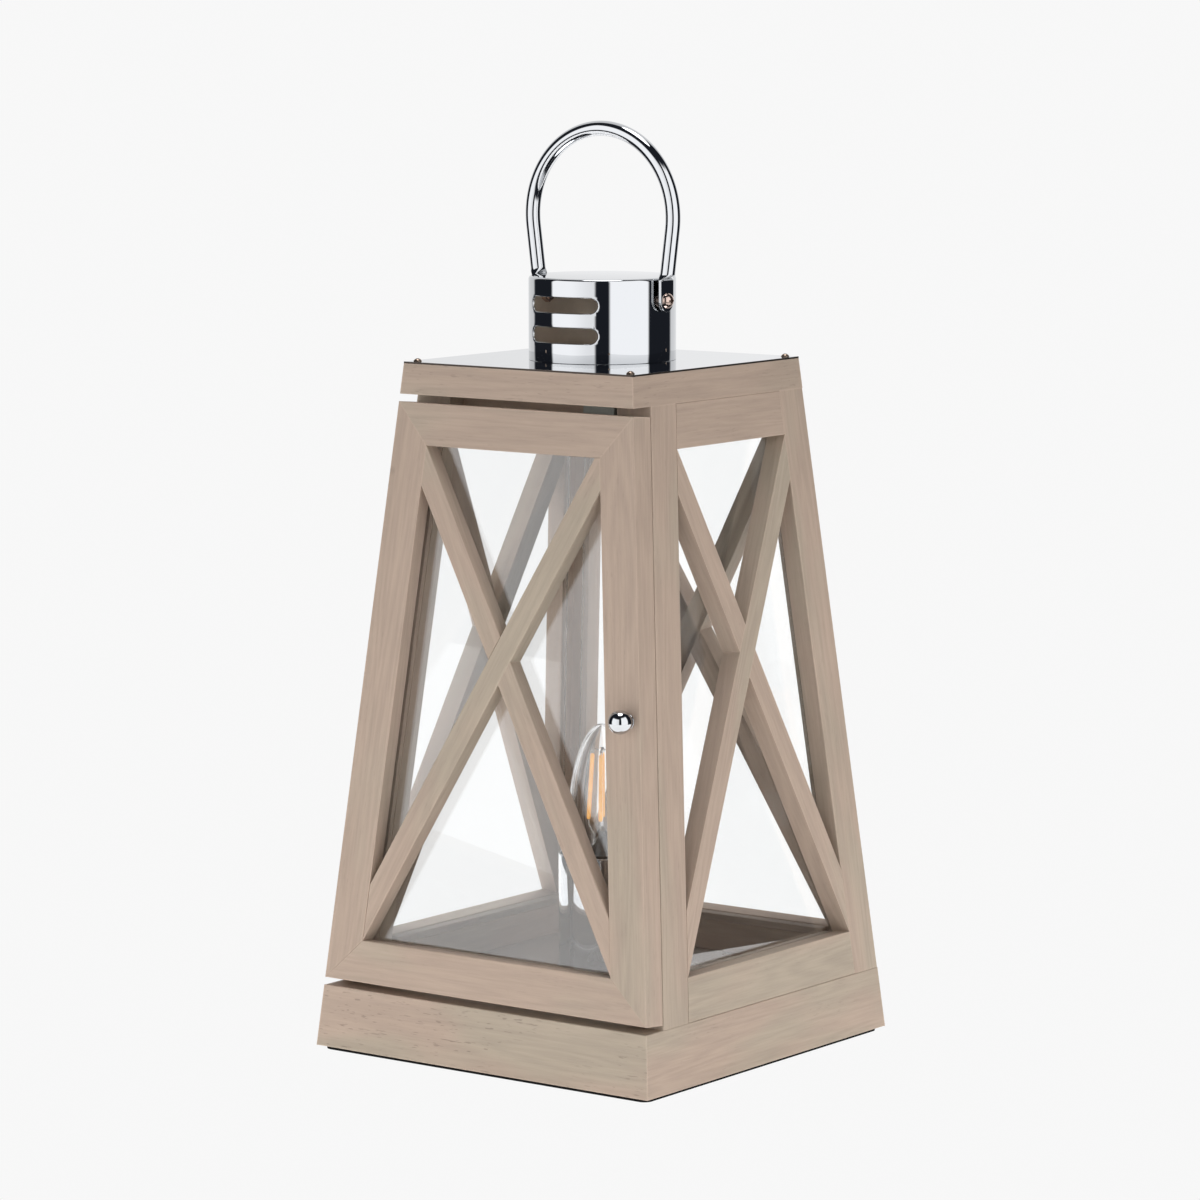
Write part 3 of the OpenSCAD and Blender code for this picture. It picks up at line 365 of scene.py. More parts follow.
def wood_material(name, wash, edge_highlight=1.0):
    material, tree, surface = new_material(name, Specular_IOR_Level=0.35)
    wood = use_group(tree, washed_wood, {
        "Axis": own(tree, "grain_axis").outputs["Vector"],
        "Shift": own(tree, "grain_shift").outputs["Vector"],
        "Knot": own(tree, "knot_at").outputs["Vector"],
        "Warmth": own(tree, "warmth").outputs["Fac"],
        "Pores": own(tree, "pores").outputs["Fac"],
        "Wash": wash,
        "Edge Highlight": edge_highlight,
    })
    tree.links.new(wood["Color"], surface.inputs["Base Color"])
    tree.links.new(wood["Roughness"], surface.inputs["Roughness"])
    feed_bump(tree, surface, wood["Height"], GRAIN_DEPTH, 0.45)
    return material


def metal_material(name, color, least, most, size=40.0, bump=0.02, dull_rim=0.0, metallic=1.0):
    material, tree, surface = new_material(name, Metallic=metallic, Base_Color=color)
    marks = use_group(tree, wiping_marks, {"Least": least, "Most": most, "Size": size})
    cut = use_group(tree, cut_rim, {
        "Polish": color, "Roughness": marks["Roughness"], "Share": dull_rim,
    })
    tree.links.new(cut["Color"], surface.inputs["Base Color"])
    tree.links.new(cut["Roughness"], surface.inputs["Roughness"])
    feed_bump(tree, surface, marks["Height"], MARK_DEPTH, bump)
    return material


def skin_material(name, color, least, most, metallic=0.0, size=900.0, unevenness=0.1, bump=0.15,
                  glow=0.0, shine=0.5):
    fixed = {"Metallic": metallic, "Emission_Strength": glow, "Specular_IOR_Level": shine}
    material, tree, surface = new_material(name, **fixed)
    skin = use_group(tree, fine_skin, {
        "Color": color, "Least": least, "Most": most, "Size": size, "Unevenness": unevenness,
    })
    tree.links.new(skin["Color"], surface.inputs["Base Color"])
    tree.links.new(skin["Color"], surface.inputs["Emission Color"])
    tree.links.new(skin["Roughness"], surface.inputs["Roughness"])
    feed_bump(tree, surface, skin["Height"], PEEL_DEPTH, bump)
    return material


def glass_material(name, color, least, most, bending):
    fixed = {"Base_Color": color, "Transmission_Weight": 1.0, "IOR": bending}
    material, tree, surface = new_material(name, **fixed)
    marks = use_group(tree, wiping_marks, {"Least": least, "Most": most, "Size": 25.0})
    tree.links.new(marks["Roughness"], surface.inputs["Roughness"])
    clear = add(tree, "ShaderNodeBsdfTransparent", {"Color": SHADOW_TINT}).outputs[0]
    is_shadow = add(tree, "ShaderNodeLightPath").outputs["Is Shadow Ray"]
    shaders = {0: is_shadow, 1: surface.outputs[0], 2: clear}
    both = add(tree, "ShaderNodeMixShader", shaders).outputs[0]
    tree.links.new(both, tree.nodes["Material Output"].inputs["Surface"])
    return material


print("material helpers ready")

# %% The finishes
finish = {
    "wood": wood_material("washed_wood", (0.438, 0.359, 0.289, 1)),
    # The beads' darker wash is painted shade for the glazing recess they sit in; their painted edge
    # highlight is weaker.
    "wood_bead": wood_material("washed_wood_bead_painted_shade", (0.40, 0.34, 0.28, 1), edge_highlight=0.6),
    "black_board": skin_material("painted_black", (0.005, 0.005, 0.005, 1), 0.6, 0.8, shine=0.1),
    "mirror_plate": metal_material(
        "mirror_plate", (0.62, 0.63, 0.64, 1), 0.015, 0.05, size=18.0, dull_rim=1.0),
    "chrome": metal_material("chrome", (0.575, 0.585, 0.60, 1), 0.012, 0.05),
    "satin_floor": metal_material(
        "satin_floor", (0.64, 0.60, 0.56, 1), 0.20, 0.30, size=18.0, metallic=0.85),
    # Painted reflection: the cup's inside is given a dull brown in place of the wood it would mirror.
    "cup_inside": skin_material("inside_painted_reflection", (0.66, 0.59, 0.51, 1), 0.4, 0.6, size=500.0),
    "nickel_cap": metal_material("nickel", (0.66, 0.64, 0.60, 1), 0.16, 0.30, size=120.0),
    "pane_glass": glass_material("pane_glass", (0.985, 0.99, 0.99, 1), 0.0, 0.012, 1.75),
    "far_pane": glass_material("far_pane", (0.985, 0.99, 0.99, 1), 0.0, 0.012, 1.30),
    "bulb_glass": glass_material("bulb_glass", (0.99, 0.99, 0.99, 1), 0.0, 0.008, 1.50),
    # The filaments' amber coating also glows a little: a painted glow.
    "filament": skin_material(
        "amber_coating_painted_glow", (0.95, 0.46, 0.09, 1), 0.35, 0.55, unevenness=0.2, glow=0.55),
    "white_plastic": skin_material("white_plastic", (0.76, 0.74, 0.69, 1), 0.35, 0.5),
    "catch_plastic": skin_material("grey_plastic", (0.33, 0.34, 0.30, 1), 0.35, 0.5),
    "brass": skin_material("brass", (0.62, 0.42, 0.16, 1), 0.18, 0.32, metallic=1.0),
    "black_plastic": skin_material("black_plastic", (0.02, 0.02, 0.02, 1), 0.3, 0.45),
    "screw_steel": skin_material(
        "zinc_steel", (0.55, 0.54, 0.51, 1), 0.18, 0.32, metallic=1.0, unevenness=0.15),
    "brown_steel": skin_material(
        "browned_steel", (0.30, 0.23, 0.18, 1), 0.22, 0.38, metallic=1.0, unevenness=0.2),
    "warm_nickel": skin_material(
        "warm_nickel", (0.55, 0.42, 0.36, 1), 0.10, 0.22, metallic=1.0, unevenness=0.1),
}
print(len(finish), "finishes")

# %% [markdown]
# ## Which way the grain runs
# A joiner cuts every member with the grain along its length. Rails and plinth boards run level,
# posts and door stiles follow the sloping corners, and the crossed braces run along the diagonals.
# The lantern narrows upwards, so of a leaning piece's two ends the one further out is the foot:
# that is enough to read a brace's diagonal off its box.

# %% Grain directions
SIDE_SIGN = {"left": -1, "right": 1, "front": -1, "back": 1}


def corner_axis(x_side, y_side):
    return Vector((-x_side * TAPER, -y_side * TAPER, 1)).normalized()


def diagonal_axis(name):
    low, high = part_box(name)
    lean_in = [(1 if abs(a) > abs(b) else -1) * (b - a) for a, b in zip(low[:2], high[:2])]
    return Vector((lean_in[0], lean_in[1], high.z - low.z)).normalized()


def grain_axis(name):
    words = name.split("_")
    if "brace" in words:
        return diagonal_axis(name)
    if words[0] == "post":
        return corner_axis(SIDE_SIGN[words[2]], SIDE_SIGN[words[1]])
    if words[1] == "stile":
        return corner_axis(SIDE_SIGN[words[2]], -1)
    runs_deep = "left" in words or "right" in words
    return Vector((0, 1, 0)) if runs_deep else Vector((1, 0, 0))


print("a corner's grain:", [round(c, 3) for c in corner_axis(-1, -1)])

# %% [markdown]
# ## Dressing the construction's own solids
# A sawn board has no perfectly sharp edge: sanding and wash leave it rounded by about a
# millimetre, and that thin lit line is most of what says "wood" at a distance. The solids arrive as
# triangles with split corners, so each gets a short modifier stack: join the skin, merge the
# triangles of each flat face, then bevel. Modifiers leave the stored mesh as it was packed. The
# arrises along the grain are worn most; the edges of a joint, across the grain, stay tighter, so
# the bevel is weighted by the angle between edge and grain.

# %% Modifier: joined skin
WELD, ALONG_GRAIN, TRUE_CORNER = 0.004 * MM, 0.9, math.radians(25)


def joined_skin(name, smooth_under):
    tree = bpy.data.node_groups.new(name, "GeometryNodeTree")
    for direction in ("INPUT", "OUTPUT"):
        tree.interface.new_socket("Geometry", in_out=direction, socket_type="NodeSocketGeometry")
    for label, kind in (("Grain", VECTOR), ("Joint Share", FLOAT)):
        tree.interface.new_socket(label, in_out="INPUT", socket_type=kind)
    given = tree.nodes.new("NodeGroupInput").outputs
    merged = add(tree, "GeometryNodeMergeByDistance", {
        "Geometry": given["Geometry"], "Distance": WELD,
    })
    plain = add(tree, "GeometryNodeRemoveAttribute", {
        "Geometry": merged.outputs[0], "Name": "custom_normal",
    })
    smooth = add(tree, "GeometryNodeSetShadeSmooth", {
        "Geometry": plain.outputs[0], "Shade Smooth": True,
    }, domain="FACE")
    angle = add(tree, "GeometryNodeInputMeshEdgeAngle").outputs["Unsigned Angle"]
    soft = add(tree, "FunctionNodeCompare", {0: angle, 1: smooth_under}, operation="LESS_THAN")
    sharp = add(tree, "GeometryNodeSetShadeSmooth", {
        "Geometry": smooth.outputs[0], "Shade Smooth": soft.outputs[0],
    }, domain="EDGE")
    ends = add(tree, "GeometryNodeInputMeshEdgeVertices").outputs
    run = vector_maths(tree, "SUBTRACT", ends["Position 2"], ends["Position 1"])
    run = vector_maths(tree, "NORMALIZE", run)
    with_grain = maths(tree, "ABSOLUTE", vector_maths(tree, "DOT_PRODUCT", run, given["Grain"]))
    is_arris = maths(tree, "GREATER_THAN", with_grain, ALONG_GRAIN)
    share = add(tree, "ShaderNodeMix", {0: is_arris, 2: given["Joint Share"], 3: 1.0}).outputs[0]
    is_corner = maths(tree, "GREATER_THAN", angle, TRUE_CORNER)
    weight = maths(tree, "MULTIPLY", share, is_corner)
    marked = add(tree, "GeometryNodeStoreNamedAttribute", {
        "Geometry": sharp.outputs[0], "Name": "bevel_weight_edge", "Value": weight,
    }, domain="EDGE", data_type="FLOAT")
    tree.links.new(marked.outputs[0], tree.nodes.new("NodeGroupOutput").inputs[0])
    return tree


skin_of_boards = joined_skin("Joined skin of boards", math.radians(1))
skin_of_turnings = joined_skin("Joined skin of turnings", math.radians(28))


def sand_edges(node, width, grain, joint_share, segments=2):
    skin = node.modifiers.new("joined_skin", "NODES")
    skin.node_group = skin_of_boards
    items = skin_of_boards.interface.items_tree
    sockets = {item.name: item.identifier for item in items if item.in_out == "INPUT"}
    skin[sockets["Grain"]] = list(grain)
    skin[sockets["Joint Share"]] = joint_share
    merge_faces = node.modifiers.new("merge_faces", "DECIMATE")
    merge_faces.decimate_type = "DISSOLVE"
    merge_faces.angle_limit = math.radians(0.5)
    bevel = node.modifiers.new("sanded_edges", "BEVEL")
    bevel.width = width
    bevel.segments = segments
    bevel.limit_method = "WEIGHT"


def smooth_turning(node):
    node.modifiers.new("joined_skin", "NODES").node_group = skin_of_turnings


print("modifier groups:", skin_of_boards.name, "and", skin_of_turnings.name)

# %% Wood, boards and plates
NO_KNOT = (0, 0, -9)
PORES = {"plinth_front": 1.0, "plinth_right": 0.35, "head_front": 0.6, "head_right": 0.45}
KNOTS = {"door_stile_left": (-0.0795, -0.0775, 0.311)}
JOINT_SHARE = {"door_rail_bottom": 0.4}
EDGE_OF = {
    "wood": 0.6, "wood_bead": 0.5, "black_board": 0.3, "mirror_plate": 0.25, "catch_plastic": 0.6,
}
NO_OWN_GRAIN = {"glass_beads", "floor_board", "base_board", "floor_plate", "cap_plate", "catch_body"}
OWN_FINISH = {
    "cap_screws": "brown_steel", "handle_screws": "warm_nickel", "floor_plate": "satin_floor",
    "left_glass": "far_pane", "back_glass": "far_pane",
}

slot_of = {row["node"]: row["material_slot"] for row in frame["record"]["subparts"]}
for number, (name, node) in enumerate(sorted(nodes.items())):
    node.data.materials.clear()
    node.data.materials.append(finish[OWN_FINISH.get(name, slot_of[name])])
    has_grain = slot_of[name] == "wood" and name not in NO_OWN_GRAIN
    axis = grain_axis(name) if has_grain else Vector((1, 0, 0))
    node["grain_axis"] = list(axis)
    node["grain_shift"] = [(number * step) % 1 for step in (0.371, 0.613, 0.839)]
    node["warmth"] = 0.25 + 0.5 * ((number * 0.618) % 1)
    node["pores"] = PORES.get(name, 0.25)
    node["knot_at"] = list(KNOTS.get(name, NO_KNOT))
    if slot_of[name] in EDGE_OF:
        joint_share = JOINT_SHARE.get(name, 0.12) if slot_of[name] == "wood" else 1.0
        sand_edges(node, EDGE_OF[slot_of[name]] * MM, axis, joint_share)
    elif slot_of[name] not in ("pane_glass", "bulb_glass"):
        smooth_turning(node)
print("dressed", len(nodes), "solids")

# %% [markdown]
# ## Turned pieces
# Cover, knob, bulb and lampholder are all turned or blown round: a profile swept about an axis.
# The profile's corners are rounded first, because a real rim is never a knife edge and polished
# metal shows the difference at once.

# %% Lathe
def eased(profile, radius, steps=4):
    """The profile with each inner corner cut to a small curve."""
    out = [Vector(profile[0])]
    for before, corner, after in zip(profile, profile[1:], profile[2:]):
        corner = Vector(corner)
        to_before, to_after = Vector(before) - corner, Vector(after) - corner
        reach = min(radius, to_before.length * 0.45, to_after.length * 0.45)
        start, end = corner + to_before.normalized() * reach, corner + to_after.normalized() * reach
        for i in range(steps + 1):
            t = i / steps
            out.append(start * (1 - t) ** 2 + corner * (2 * t * (1 - t)) + end * t ** 2)
    return out + [Vector(profile[-1])]


def sweep_round(shape, profile, around):
    """Sweeps a profile of (radius, height) pairs about the z axis. Radius 0 closes an end."""
    turns = [2 * math.pi * i / around for i in range(around)]
    rings = []
    for radius, height in profile:
        spots = [(radius * math.cos(a), radius * math.sin(a), height) for a in turns]
        spots = spots if radius > 1e-7 else [(0, 0, height)]
        rings.append([shape.verts.new(spot) for spot in spots])
    for low, high in zip(rings, rings[1:]):
        for i in range(around):
            j = (i + 1) % around
            corners = [low[i % len(low)], low[j % len(low)], high[j % len(high)], high[i % len(high)]]
            shape.faces.new([v for k, v in enumerate(corners) if v not in corners[:k]])


def join_loops(shape, loops):
    """A band of faces from each closed loop of points to the next one."""
    for near, far in zip(loops, loops[1:]):
        for i in range(len(near)):
            j = (i + 1) % len(near)
            shape.faces.new([near[i], near[j], far[j], far[i]])


def turned(name, profile, around=96, place=None):
    shape = bmesh.new()
    sweep_round(shape, profile, around)
    return finish_mesh(name, shape, place)


def to_object(name, shape):
    mesh = bpy.data.meshes.new(name)
    shape.to_mesh(mesh)
    shape.free()
    piece = bpy.data.objects.new(name, mesh)
    bpy.context.scene.collection.objects.link(piece)
    return piece


def finish_mesh(name, shape, place=None, sharp_over=35):
    """Turns a bmesh into an object with its faces outward, smooth but for its true corners."""
    bmesh.ops.remove_doubles(shape, verts=shape.verts, dist=1e-6)
    bmesh.ops.recalc_face_normals(shape, faces=shape.faces)
    if place is not None:
        shape.transform(place)
    for face in shape.faces:
        face.smooth = True
    for edge in shape.edges:
        edge.smooth = edge.calc_face_angle(0) < math.radians(sharp_over)
    return to_object(name, shape)


def settle(piece, body, slot, *replaced):
    """Gives a new piece its finish, the body it rides on and the solids it stands for."""
    if not piece.data.materials:
        piece.data.materials.append(finish[slot])
    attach(piece, body)
    if replaced:
        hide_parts(*replaced)
    print(piece.name, len(piece.data.vertices), "points")
    return piece


print("lathe ready")

# %% [markdown]
# ## Chrome cover of the lampholder
# A plain drawn tube with a foot, open at the top. Its rim is turned over slightly, which gives
# the thin bright ring under the bulb.

# %% The cover
COVER_R, COVER_H, WALL = 23.3 * MM, 67 * MM, 1 * MM
STEM_R = 5.1 * MM
cover_profile = eased([
    (STEM_R, 0), (COVER_R, 0), (COVER_R, COVER_H), (COVER_R - WALL, COVER_H),
    (COVER_R - WALL, WALL), (STEM_R, WALL), (STEM_R, 0)], 0.45 * MM)
cover = turned("cover_tube", cover_profile, 128, Matrix.Translation((0, 0, FLOOR_TOP)))
settle(cover, "lantern", "chrome", "holder_cover")

# %% [markdown]
# ## Door knob
# A ball on a low collar. It is turned about the door's own normal, which leans back with the
# front of the lantern, so the piece is built upright and then laid onto the door face.

# %% The knob
KNOB_R, COLLAR_R, COLLAR_T, KNOB_SINK = 6.25 * MM, 4.2 * MM, 0.8 * MM, 0.35 * MM
KNOB_Z, KNOB_INSET = 193 * MM, 7.5 * MM
BALL_STEPS = 40


def on_front(x, up):
    """The place and tilt of a fitting on the leaning front face."""
    spot = Vector((x, -(FOOT_HALF - math.sin(LEAN) * up), PAD_T + math.cos(LEAN) * up))
    return Matrix.Translation(spot) @ Matrix.Rotation(math.radians(90) - LEAN, 4, "X")


knob_up = (KNOB_Z - PAD_T) / math.cos(LEAN)
knob_x = FOOT_HALF - math.sin(LEAN) * knob_up - KNOB_INSET
centre = COLLAR_T - KNOB_SINK + KNOB_R
start = math.asin((centre - COLLAR_T) / KNOB_R)
ball = [(KNOB_R * math.cos(a), centre + KNOB_R * math.sin(a))
        for a in [-start + (math.pi / 2 + start) * i / BALL_STEPS for i in range(BALL_STEPS)]]
stud = [(0, -14 * MM), (1.9 * MM, -14 * MM), (1.9 * MM, 0)]
collar = [(1.9 * MM, 0), (COLLAR_R, 0), (COLLAR_R, COLLAR_T), (ball[0][0], COLLAR_T)]
knob_profile = stud + eased(collar, 0.3 * MM) + ball + [(0, centre + KNOB_R)]
knob = turned("ball_knob", knob_profile, 96, on_front(knob_x, knob_up))
settle(knob, "door", "chrome", "door_knob")

# %% [markdown]
# ## Vent cup
# The cup is drawn from sheet and its slots are punched through front and back. A boolean cut
# would leave ragged shading on a mirror, so the wall is laid out flat instead: the outline of each
# slot goes into a triangulated sheet as a constraint, the sheet is rolled up, and the punched rims
# are swept round the openings as strips of their own with a small curve, which is what catches
# the light in the photograph. Only the outside is polished; inside, the sheet is dull and painted
# brown, a painted reflection of the wood and shade it would mirror.

# %% Cup: outline of a slot
CUP_R, CUP_H, CUP_EDGE_R, FLANGE_W = 39.2 * MM, 44.5 * MM, 2.5 * MM, 7 * MM
SLOT_H, SLOT_L = 8.1 * MM, 43 * MM
SLOT_HEIGHTS = (14.7 * MM, 30.6 * MM)
RIM = 0.55 * MM
BAND_LOW, BAND_HIGH = 6 * MM, 40 * MM
END_STEPS, SIDE_STEPS = 14, 24
AROUND = 192


def slot_outline(grow):
    """Points round a slot, in the plane that it is punched through: (x, height)."""
    radius, half = SLOT_H / 2 + grow, (SLOT_L - SLOT_H) / 2
    points = []
    for side in (1, -1):
        for i in range(END_STEPS):
            a = math.pi * (i / END_STEPS - 0.5)
            points.append((side * (half + radius * math.cos(a)), side * radius * math.sin(a)))
        for i in range(SIDE_STEPS):
            points.append((side * (half - 2 * half * i / SIDE_STEPS), side * radius))
    return points


def rolled(x, height, radius, back):
    """A point of the punched plane, carried straight onto the round wall."""
    angle = math.asin(max(-1, min(1, x / CUP_R)))
    turn = (math.pi / 2 if back else -math.pi / 2) + (-angle if back else angle)
    return Vector((radius * math.cos(turn), radius * math.sin(turn), height))


print("a slot has", len(slot_outline(0)), "points")

# %% Cup: the punched wall
def flat_wall(radius, grow):
    """One skin of the cup's wall as a rolled sheet with four slots left out."""
    points, edges, holes = [], [], []
    step = 2 * math.pi / AROUND
    rows = [BAND_LOW + (BAND_HIGH - BAND_LOW) * i / 16 for i in range(17)]
    for row in rows:
        points += [Vector((i * step, row / CUP_R)) for i in range(AROUND + 1)]
    for back in (False, True):
        for height in SLOT_HEIGHTS:
            first = len(points)
            loop = []
            for x, up in slot_outline(grow):
                angle = math.asin(max(-1, min(1, x / CUP_R)))
                turn = (math.pi / 2 - angle) if back else (3 * math.pi / 2 + angle)
                loop.append(Vector((turn, (height + up) / CUP_R)))
            points += loop
            count = len(loop)
            edges += [(first + i, first + (i + 1) % count) for i in range(count)]
            holes.append(loop)
    verts, _, faces, _, _, _ = delaunay_2d_cdt(points, edges, [], 0, 1e-7)
    middles = [sum((verts[i] for i in face), Vector((0, 0))) / len(face) for face in faces]
    kept = [f for f, middle in zip(faces, middles) if not any(inside(middle, hole) for hole in holes)]
    rolled_up = [Vector((radius * math.cos(v.x), radius * math.sin(v.x), v.y * CUP_R)) for v in verts]
    return rolled_up, kept


def inside(point, loop):
    crossings = 0
    for a, b in zip(loop, loop[1:] + loop[:1]):
        if (a.y > point.y) != (b.y > point.y):
            crossings += point.x < a.x + (point.y - a.y) * (b.x - a.x) / (b.y - a.y)
    return crossings % 2 == 1


cup_shape = bmesh.new()
for radius, grow in ((CUP_R, RIM), (CUP_R - WALL, 0)):
    sheet_points, sheet_faces = flat_wall(radius, grow)
    made = [cup_shape.verts.new(p) for p in sheet_points]
    for face in sheet_faces:
        cup_shape.faces.new([made[i] for i in face])

outer_top = eased([(CUP_R, BAND_HIGH), (CUP_R, CUP_H), (0, CUP_H)], CUP_EDGE_R * 1.35, 8)
inner_r, flange_r = CUP_R - WALL, CUP_R - FLANGE_W
inner_top = eased([(inner_r, BAND_HIGH), (inner_r, CUP_H - WALL), (0, CUP_H - WALL)], CUP_EDGE_R, 6)
foot = eased([
    (CUP_R, BAND_LOW), (CUP_R, 0), (flange_r, 0), (flange_r, WALL), (inner_r, WALL),
    (inner_r, BAND_LOW)], 0.3 * MM, 3)
for profile in (outer_top, inner_top, foot):
    sweep_round(cup_shape, profile, AROUND)

quarter = [math.pi / 8 * i for i in range(5)]
rim_steps = [(RIM * (1 - math.sin(a)), RIM * (1 - math.cos(a))) for a in quarter] + [(0, WALL)]
for back in (False, True):
    for height in SLOT_HEIGHTS:
        loops = []
        for grow, depth in rim_steps:
            spots = [rolled(x, height + up, CUP_R - depth, back) for x, up in slot_outline(grow)]
            loops.append([cup_shape.verts.new(spot) for spot in spots])
        join_loops(cup_shape, loops)
cup = finish_mesh("punched_cup", cup_shape, Matrix.Translation((0, 0, CAP_TOP)), 50)
# Outside and top faces are chrome; the inside gets the dull brown painted reflection.
for name in ("chrome", "cup_inside"):
    cup.data.materials.append(finish[name])
for face in cup.data.polygons:
    far_out = math.hypot(face.center.x, face.center.y) > CUP_R - WALL * 0.9
    on_top = face.center.z > CAP_TOP + CUP_H - WALL * 0.9
    face.material_index = 0 if far_out or on_top else 1
settle(cup, "lantern", "chrome", "vent_cup")

# %% [markdown]
# ## Bail handle
# One bar of round steel, bent over a former and flattened at both ends into lugs. It is built as
# one section swept along the bent line: the section changes from a circle to a flat, rounded
# strip over the last centimetre, as it does under the press.

# %% The handle
BAR_R, ARCH_R, ARCH_Z, LEG_LEAN = 4 * MM, 46.2 * MM, 43.3 * MM, math.radians(7.5)
LUG_X, LUG_T, LUG_W, LUG_H, BAR_END = 41.7 * MM, 2 * MM, 12 * MM, 11 * MM, 14.5 * MM
ARCH_STEPS, LEG_STEPS, PRESS_STEPS, LUG_STEPS, SECTION = 64, 6, 14, 16, 40


def handle_stations():
    """Stations down the right half: place, way out, half thickness, half width, squareness."""
    rows = []
    for i in range(ARCH_STEPS // 2 + 1):
        a = math.pi / 2 - (math.pi / 2 + LEG_LEAN) * i / (ARCH_STEPS // 2)
        out = Vector((math.cos(a), 0, math.sin(a)))
        rows.append((Vector((0, 0, ARCH_Z)) + out * ARCH_R, out, BAR_R, BAR_R, 2.0))
    top, out = rows[-1][0], rows[-1][1]
    bar_end = Vector((top.x - (top.z - BAR_END) * math.tan(LEG_LEAN), 0, BAR_END))
    for i in range(1, LEG_STEPS + 1):
        rows.append((top.lerp(bar_end, i / LEG_STEPS), out, BAR_R, BAR_R, 2.0))
    lug_top = Vector((LUG_X, 0, LUG_H - 1 * MM))
    for i in range(1, PRESS_STEPS + 1):
        t = i / PRESS_STEPS
        ease = t * t * (3 - 2 * t)
        place = bar_end.lerp(lug_top, t)
        place.x = bar_end.x + (LUG_X - bar_end.x) * ease
        lean = out.lerp(Vector((1, 0, 0)), ease).normalized()
        half_t, half_w = BAR_R + (LUG_T / 2 - BAR_R) * ease, BAR_R + (LUG_W / 2 - BAR_R) * ease
        rows.append((place, lean, half_t, half_w, 2 + 4 * ease))
    for i in range(1, LUG_STEPS + 1):
        a = math.pi / 2 * i / LUG_STEPS
        low = -math.sin(a) * LUG_W / 2
        width = max(0.02 * MM, math.cos(a) * LUG_W / 2)
        edge = min(1, width / (1.2 * MM)) ** 0.5
        half_t = LUG_T / 2 * (0.55 + 0.45 * edge)
        rows.append((Vector((LUG_X, 0, low)), Vector((1, 0, 0)), half_t, width, 6.0))
    return rows


def section_points(place, out, half_t, half_w, square):
    points = []
    for i in range(SECTION):
        a = 2 * math.pi * i / SECTION
        c, s = math.cos(a), math.sin(a)
        across = math.copysign(abs(c) ** (2 / square), c) * half_t
        wide = math.copysign(abs(s) ** (2 / square), s) * half_w
        points.append(place + out * across + Vector((0, wide, 0)))
    return points


half = handle_stations()
mirrored = [(Vector((-p.x, 0, p.z)), Vector((-o.x, 0, o.z)), t, w, q) for p, o, t, w, q in half[1:]]
stations = mirrored[::-1] + half
handle_shape = bmesh.new()
sections = [[handle_shape.verts.new(p) for p in section_points(*row)] for row in stations]
join_loops(handle_shape, sections)
for end in (sections[0], sections[-1]):
    handle_shape.faces.new(end)
handle = finish_mesh("bent_handle", handle_shape, Matrix.Translation((0, 0, PIVOT_Z)), 40)
settle(handle, "handle", "chrome", "handle")

# %% [markdown]
# ## Candle bulb
# The bulb is blown clear glass: an envelope with a drawn-out tip, and inside it a stem that holds
# the amber filaments. Glass only looks like glass if it has a wall, so the envelope is a closed
# skin with an inner face; the photograph's bright left outline is that wall seen edge-on.

# %% Bulb: envelope
GLASS_Z, BULB_R, BULB_H, BELLY, BULB_WALL = 97.8 * MM, 17.5 * MM, 75 * MM, 0.46, 0.8 * MM
NECK_R = BULB_R * 0.5
BULB_STEPS = 72


def bulb_radius(share):
    if share < BELLY:
        return NECK_R + (BULB_R - NECK_R) * math.sin(math.pi / 2 * share / BELLY) ** 2
    q = min(1, (share - BELLY) / (1 - BELLY))
    return BULB_R * math.sqrt(max(0, 1 - q ** 1.5))


def bulb_skin(less, height):
    shares = [math.sin(math.pi / 2 * i / BULB_STEPS) for i in range(BULB_STEPS)]
    return [(max(0.2 * MM, bulb_radius(s) - less), GLASS_Z + s * height) for s in shares]


outside = bulb_skin(0, BULB_H) + [(0, GLASS_Z + BULB_H)]
inside_h = BULB_H - 1.6 * BULB_WALL
inside_skin = bulb_skin(BULB_WALL, inside_h) + [(0, GLASS_Z + inside_h)]
envelope = turned("bulb_envelope", inside_skin[::-1] + outside, 96)
settle(envelope, "lantern", "bulb_glass", "bulb_glass")

# %% Bulb: stem
FILAMENT_Z, FILAMENT_H, BEAD_R, ROD_R = 120.8 * MM, 36 * MM, 1.7 * MM, 0.7 * MM
bead_z = FILAMENT_Z + FILAMENT_H + BEAD_R
foot_r = NECK_R - 2 * BULB_WALL
press = [
    (0, GLASS_Z), (foot_r, GLASS_Z), (foot_r * 0.86, GLASS_Z + 7 * MM),
    (foot_r * 0.52, GLASS_Z + 14 * MM), (BEAD_R * 1.5, GLASS_Z + 17 * MM),
    (ROD_R, GLASS_Z + 19 * MM), (ROD_R, bead_z - BEAD_R * 0.9)]
bead_turns = [-1.15 + 2.7 * i / 16 for i in range(16)]
bead = [(BEAD_R * math.cos(a), bead_z + BEAD_R * math.sin(a)) for a in bead_turns]
stem = turned("bulb_stem", eased(press, 3 * MM, 6) + bead + [(0, bead_z + BEAD_R)], 48)
settle(stem, "lantern", "bulb_glass")

# %% Bulb: filaments
FOOT_RING, TOP_RING, FILAMENT_R = 7.2 * MM, 5 * MM, 1.1 * MM
FILAMENT_TURNS = [math.radians((i + 0.35) * 90) for i in range(4)]
OUTWARD = [Vector((math.cos(a), math.sin(a), 0)) for a in FILAMENT_TURNS]


def at(out, radius, height):
    return out * radius + Vector((0, 0, height))


def lay_rod(shape, profile, around, near, far):
    """Turns a rod and lays it into the mesh, from one point toward another."""
    tilt = (far - near).to_track_quat("Z", "Y").to_matrix().to_4x4()
    rod = turned("rod", profile, around, Matrix.Translation(near) @ tilt)
    shape.from_mesh(rod.data)
    bpy.data.objects.remove(rod)


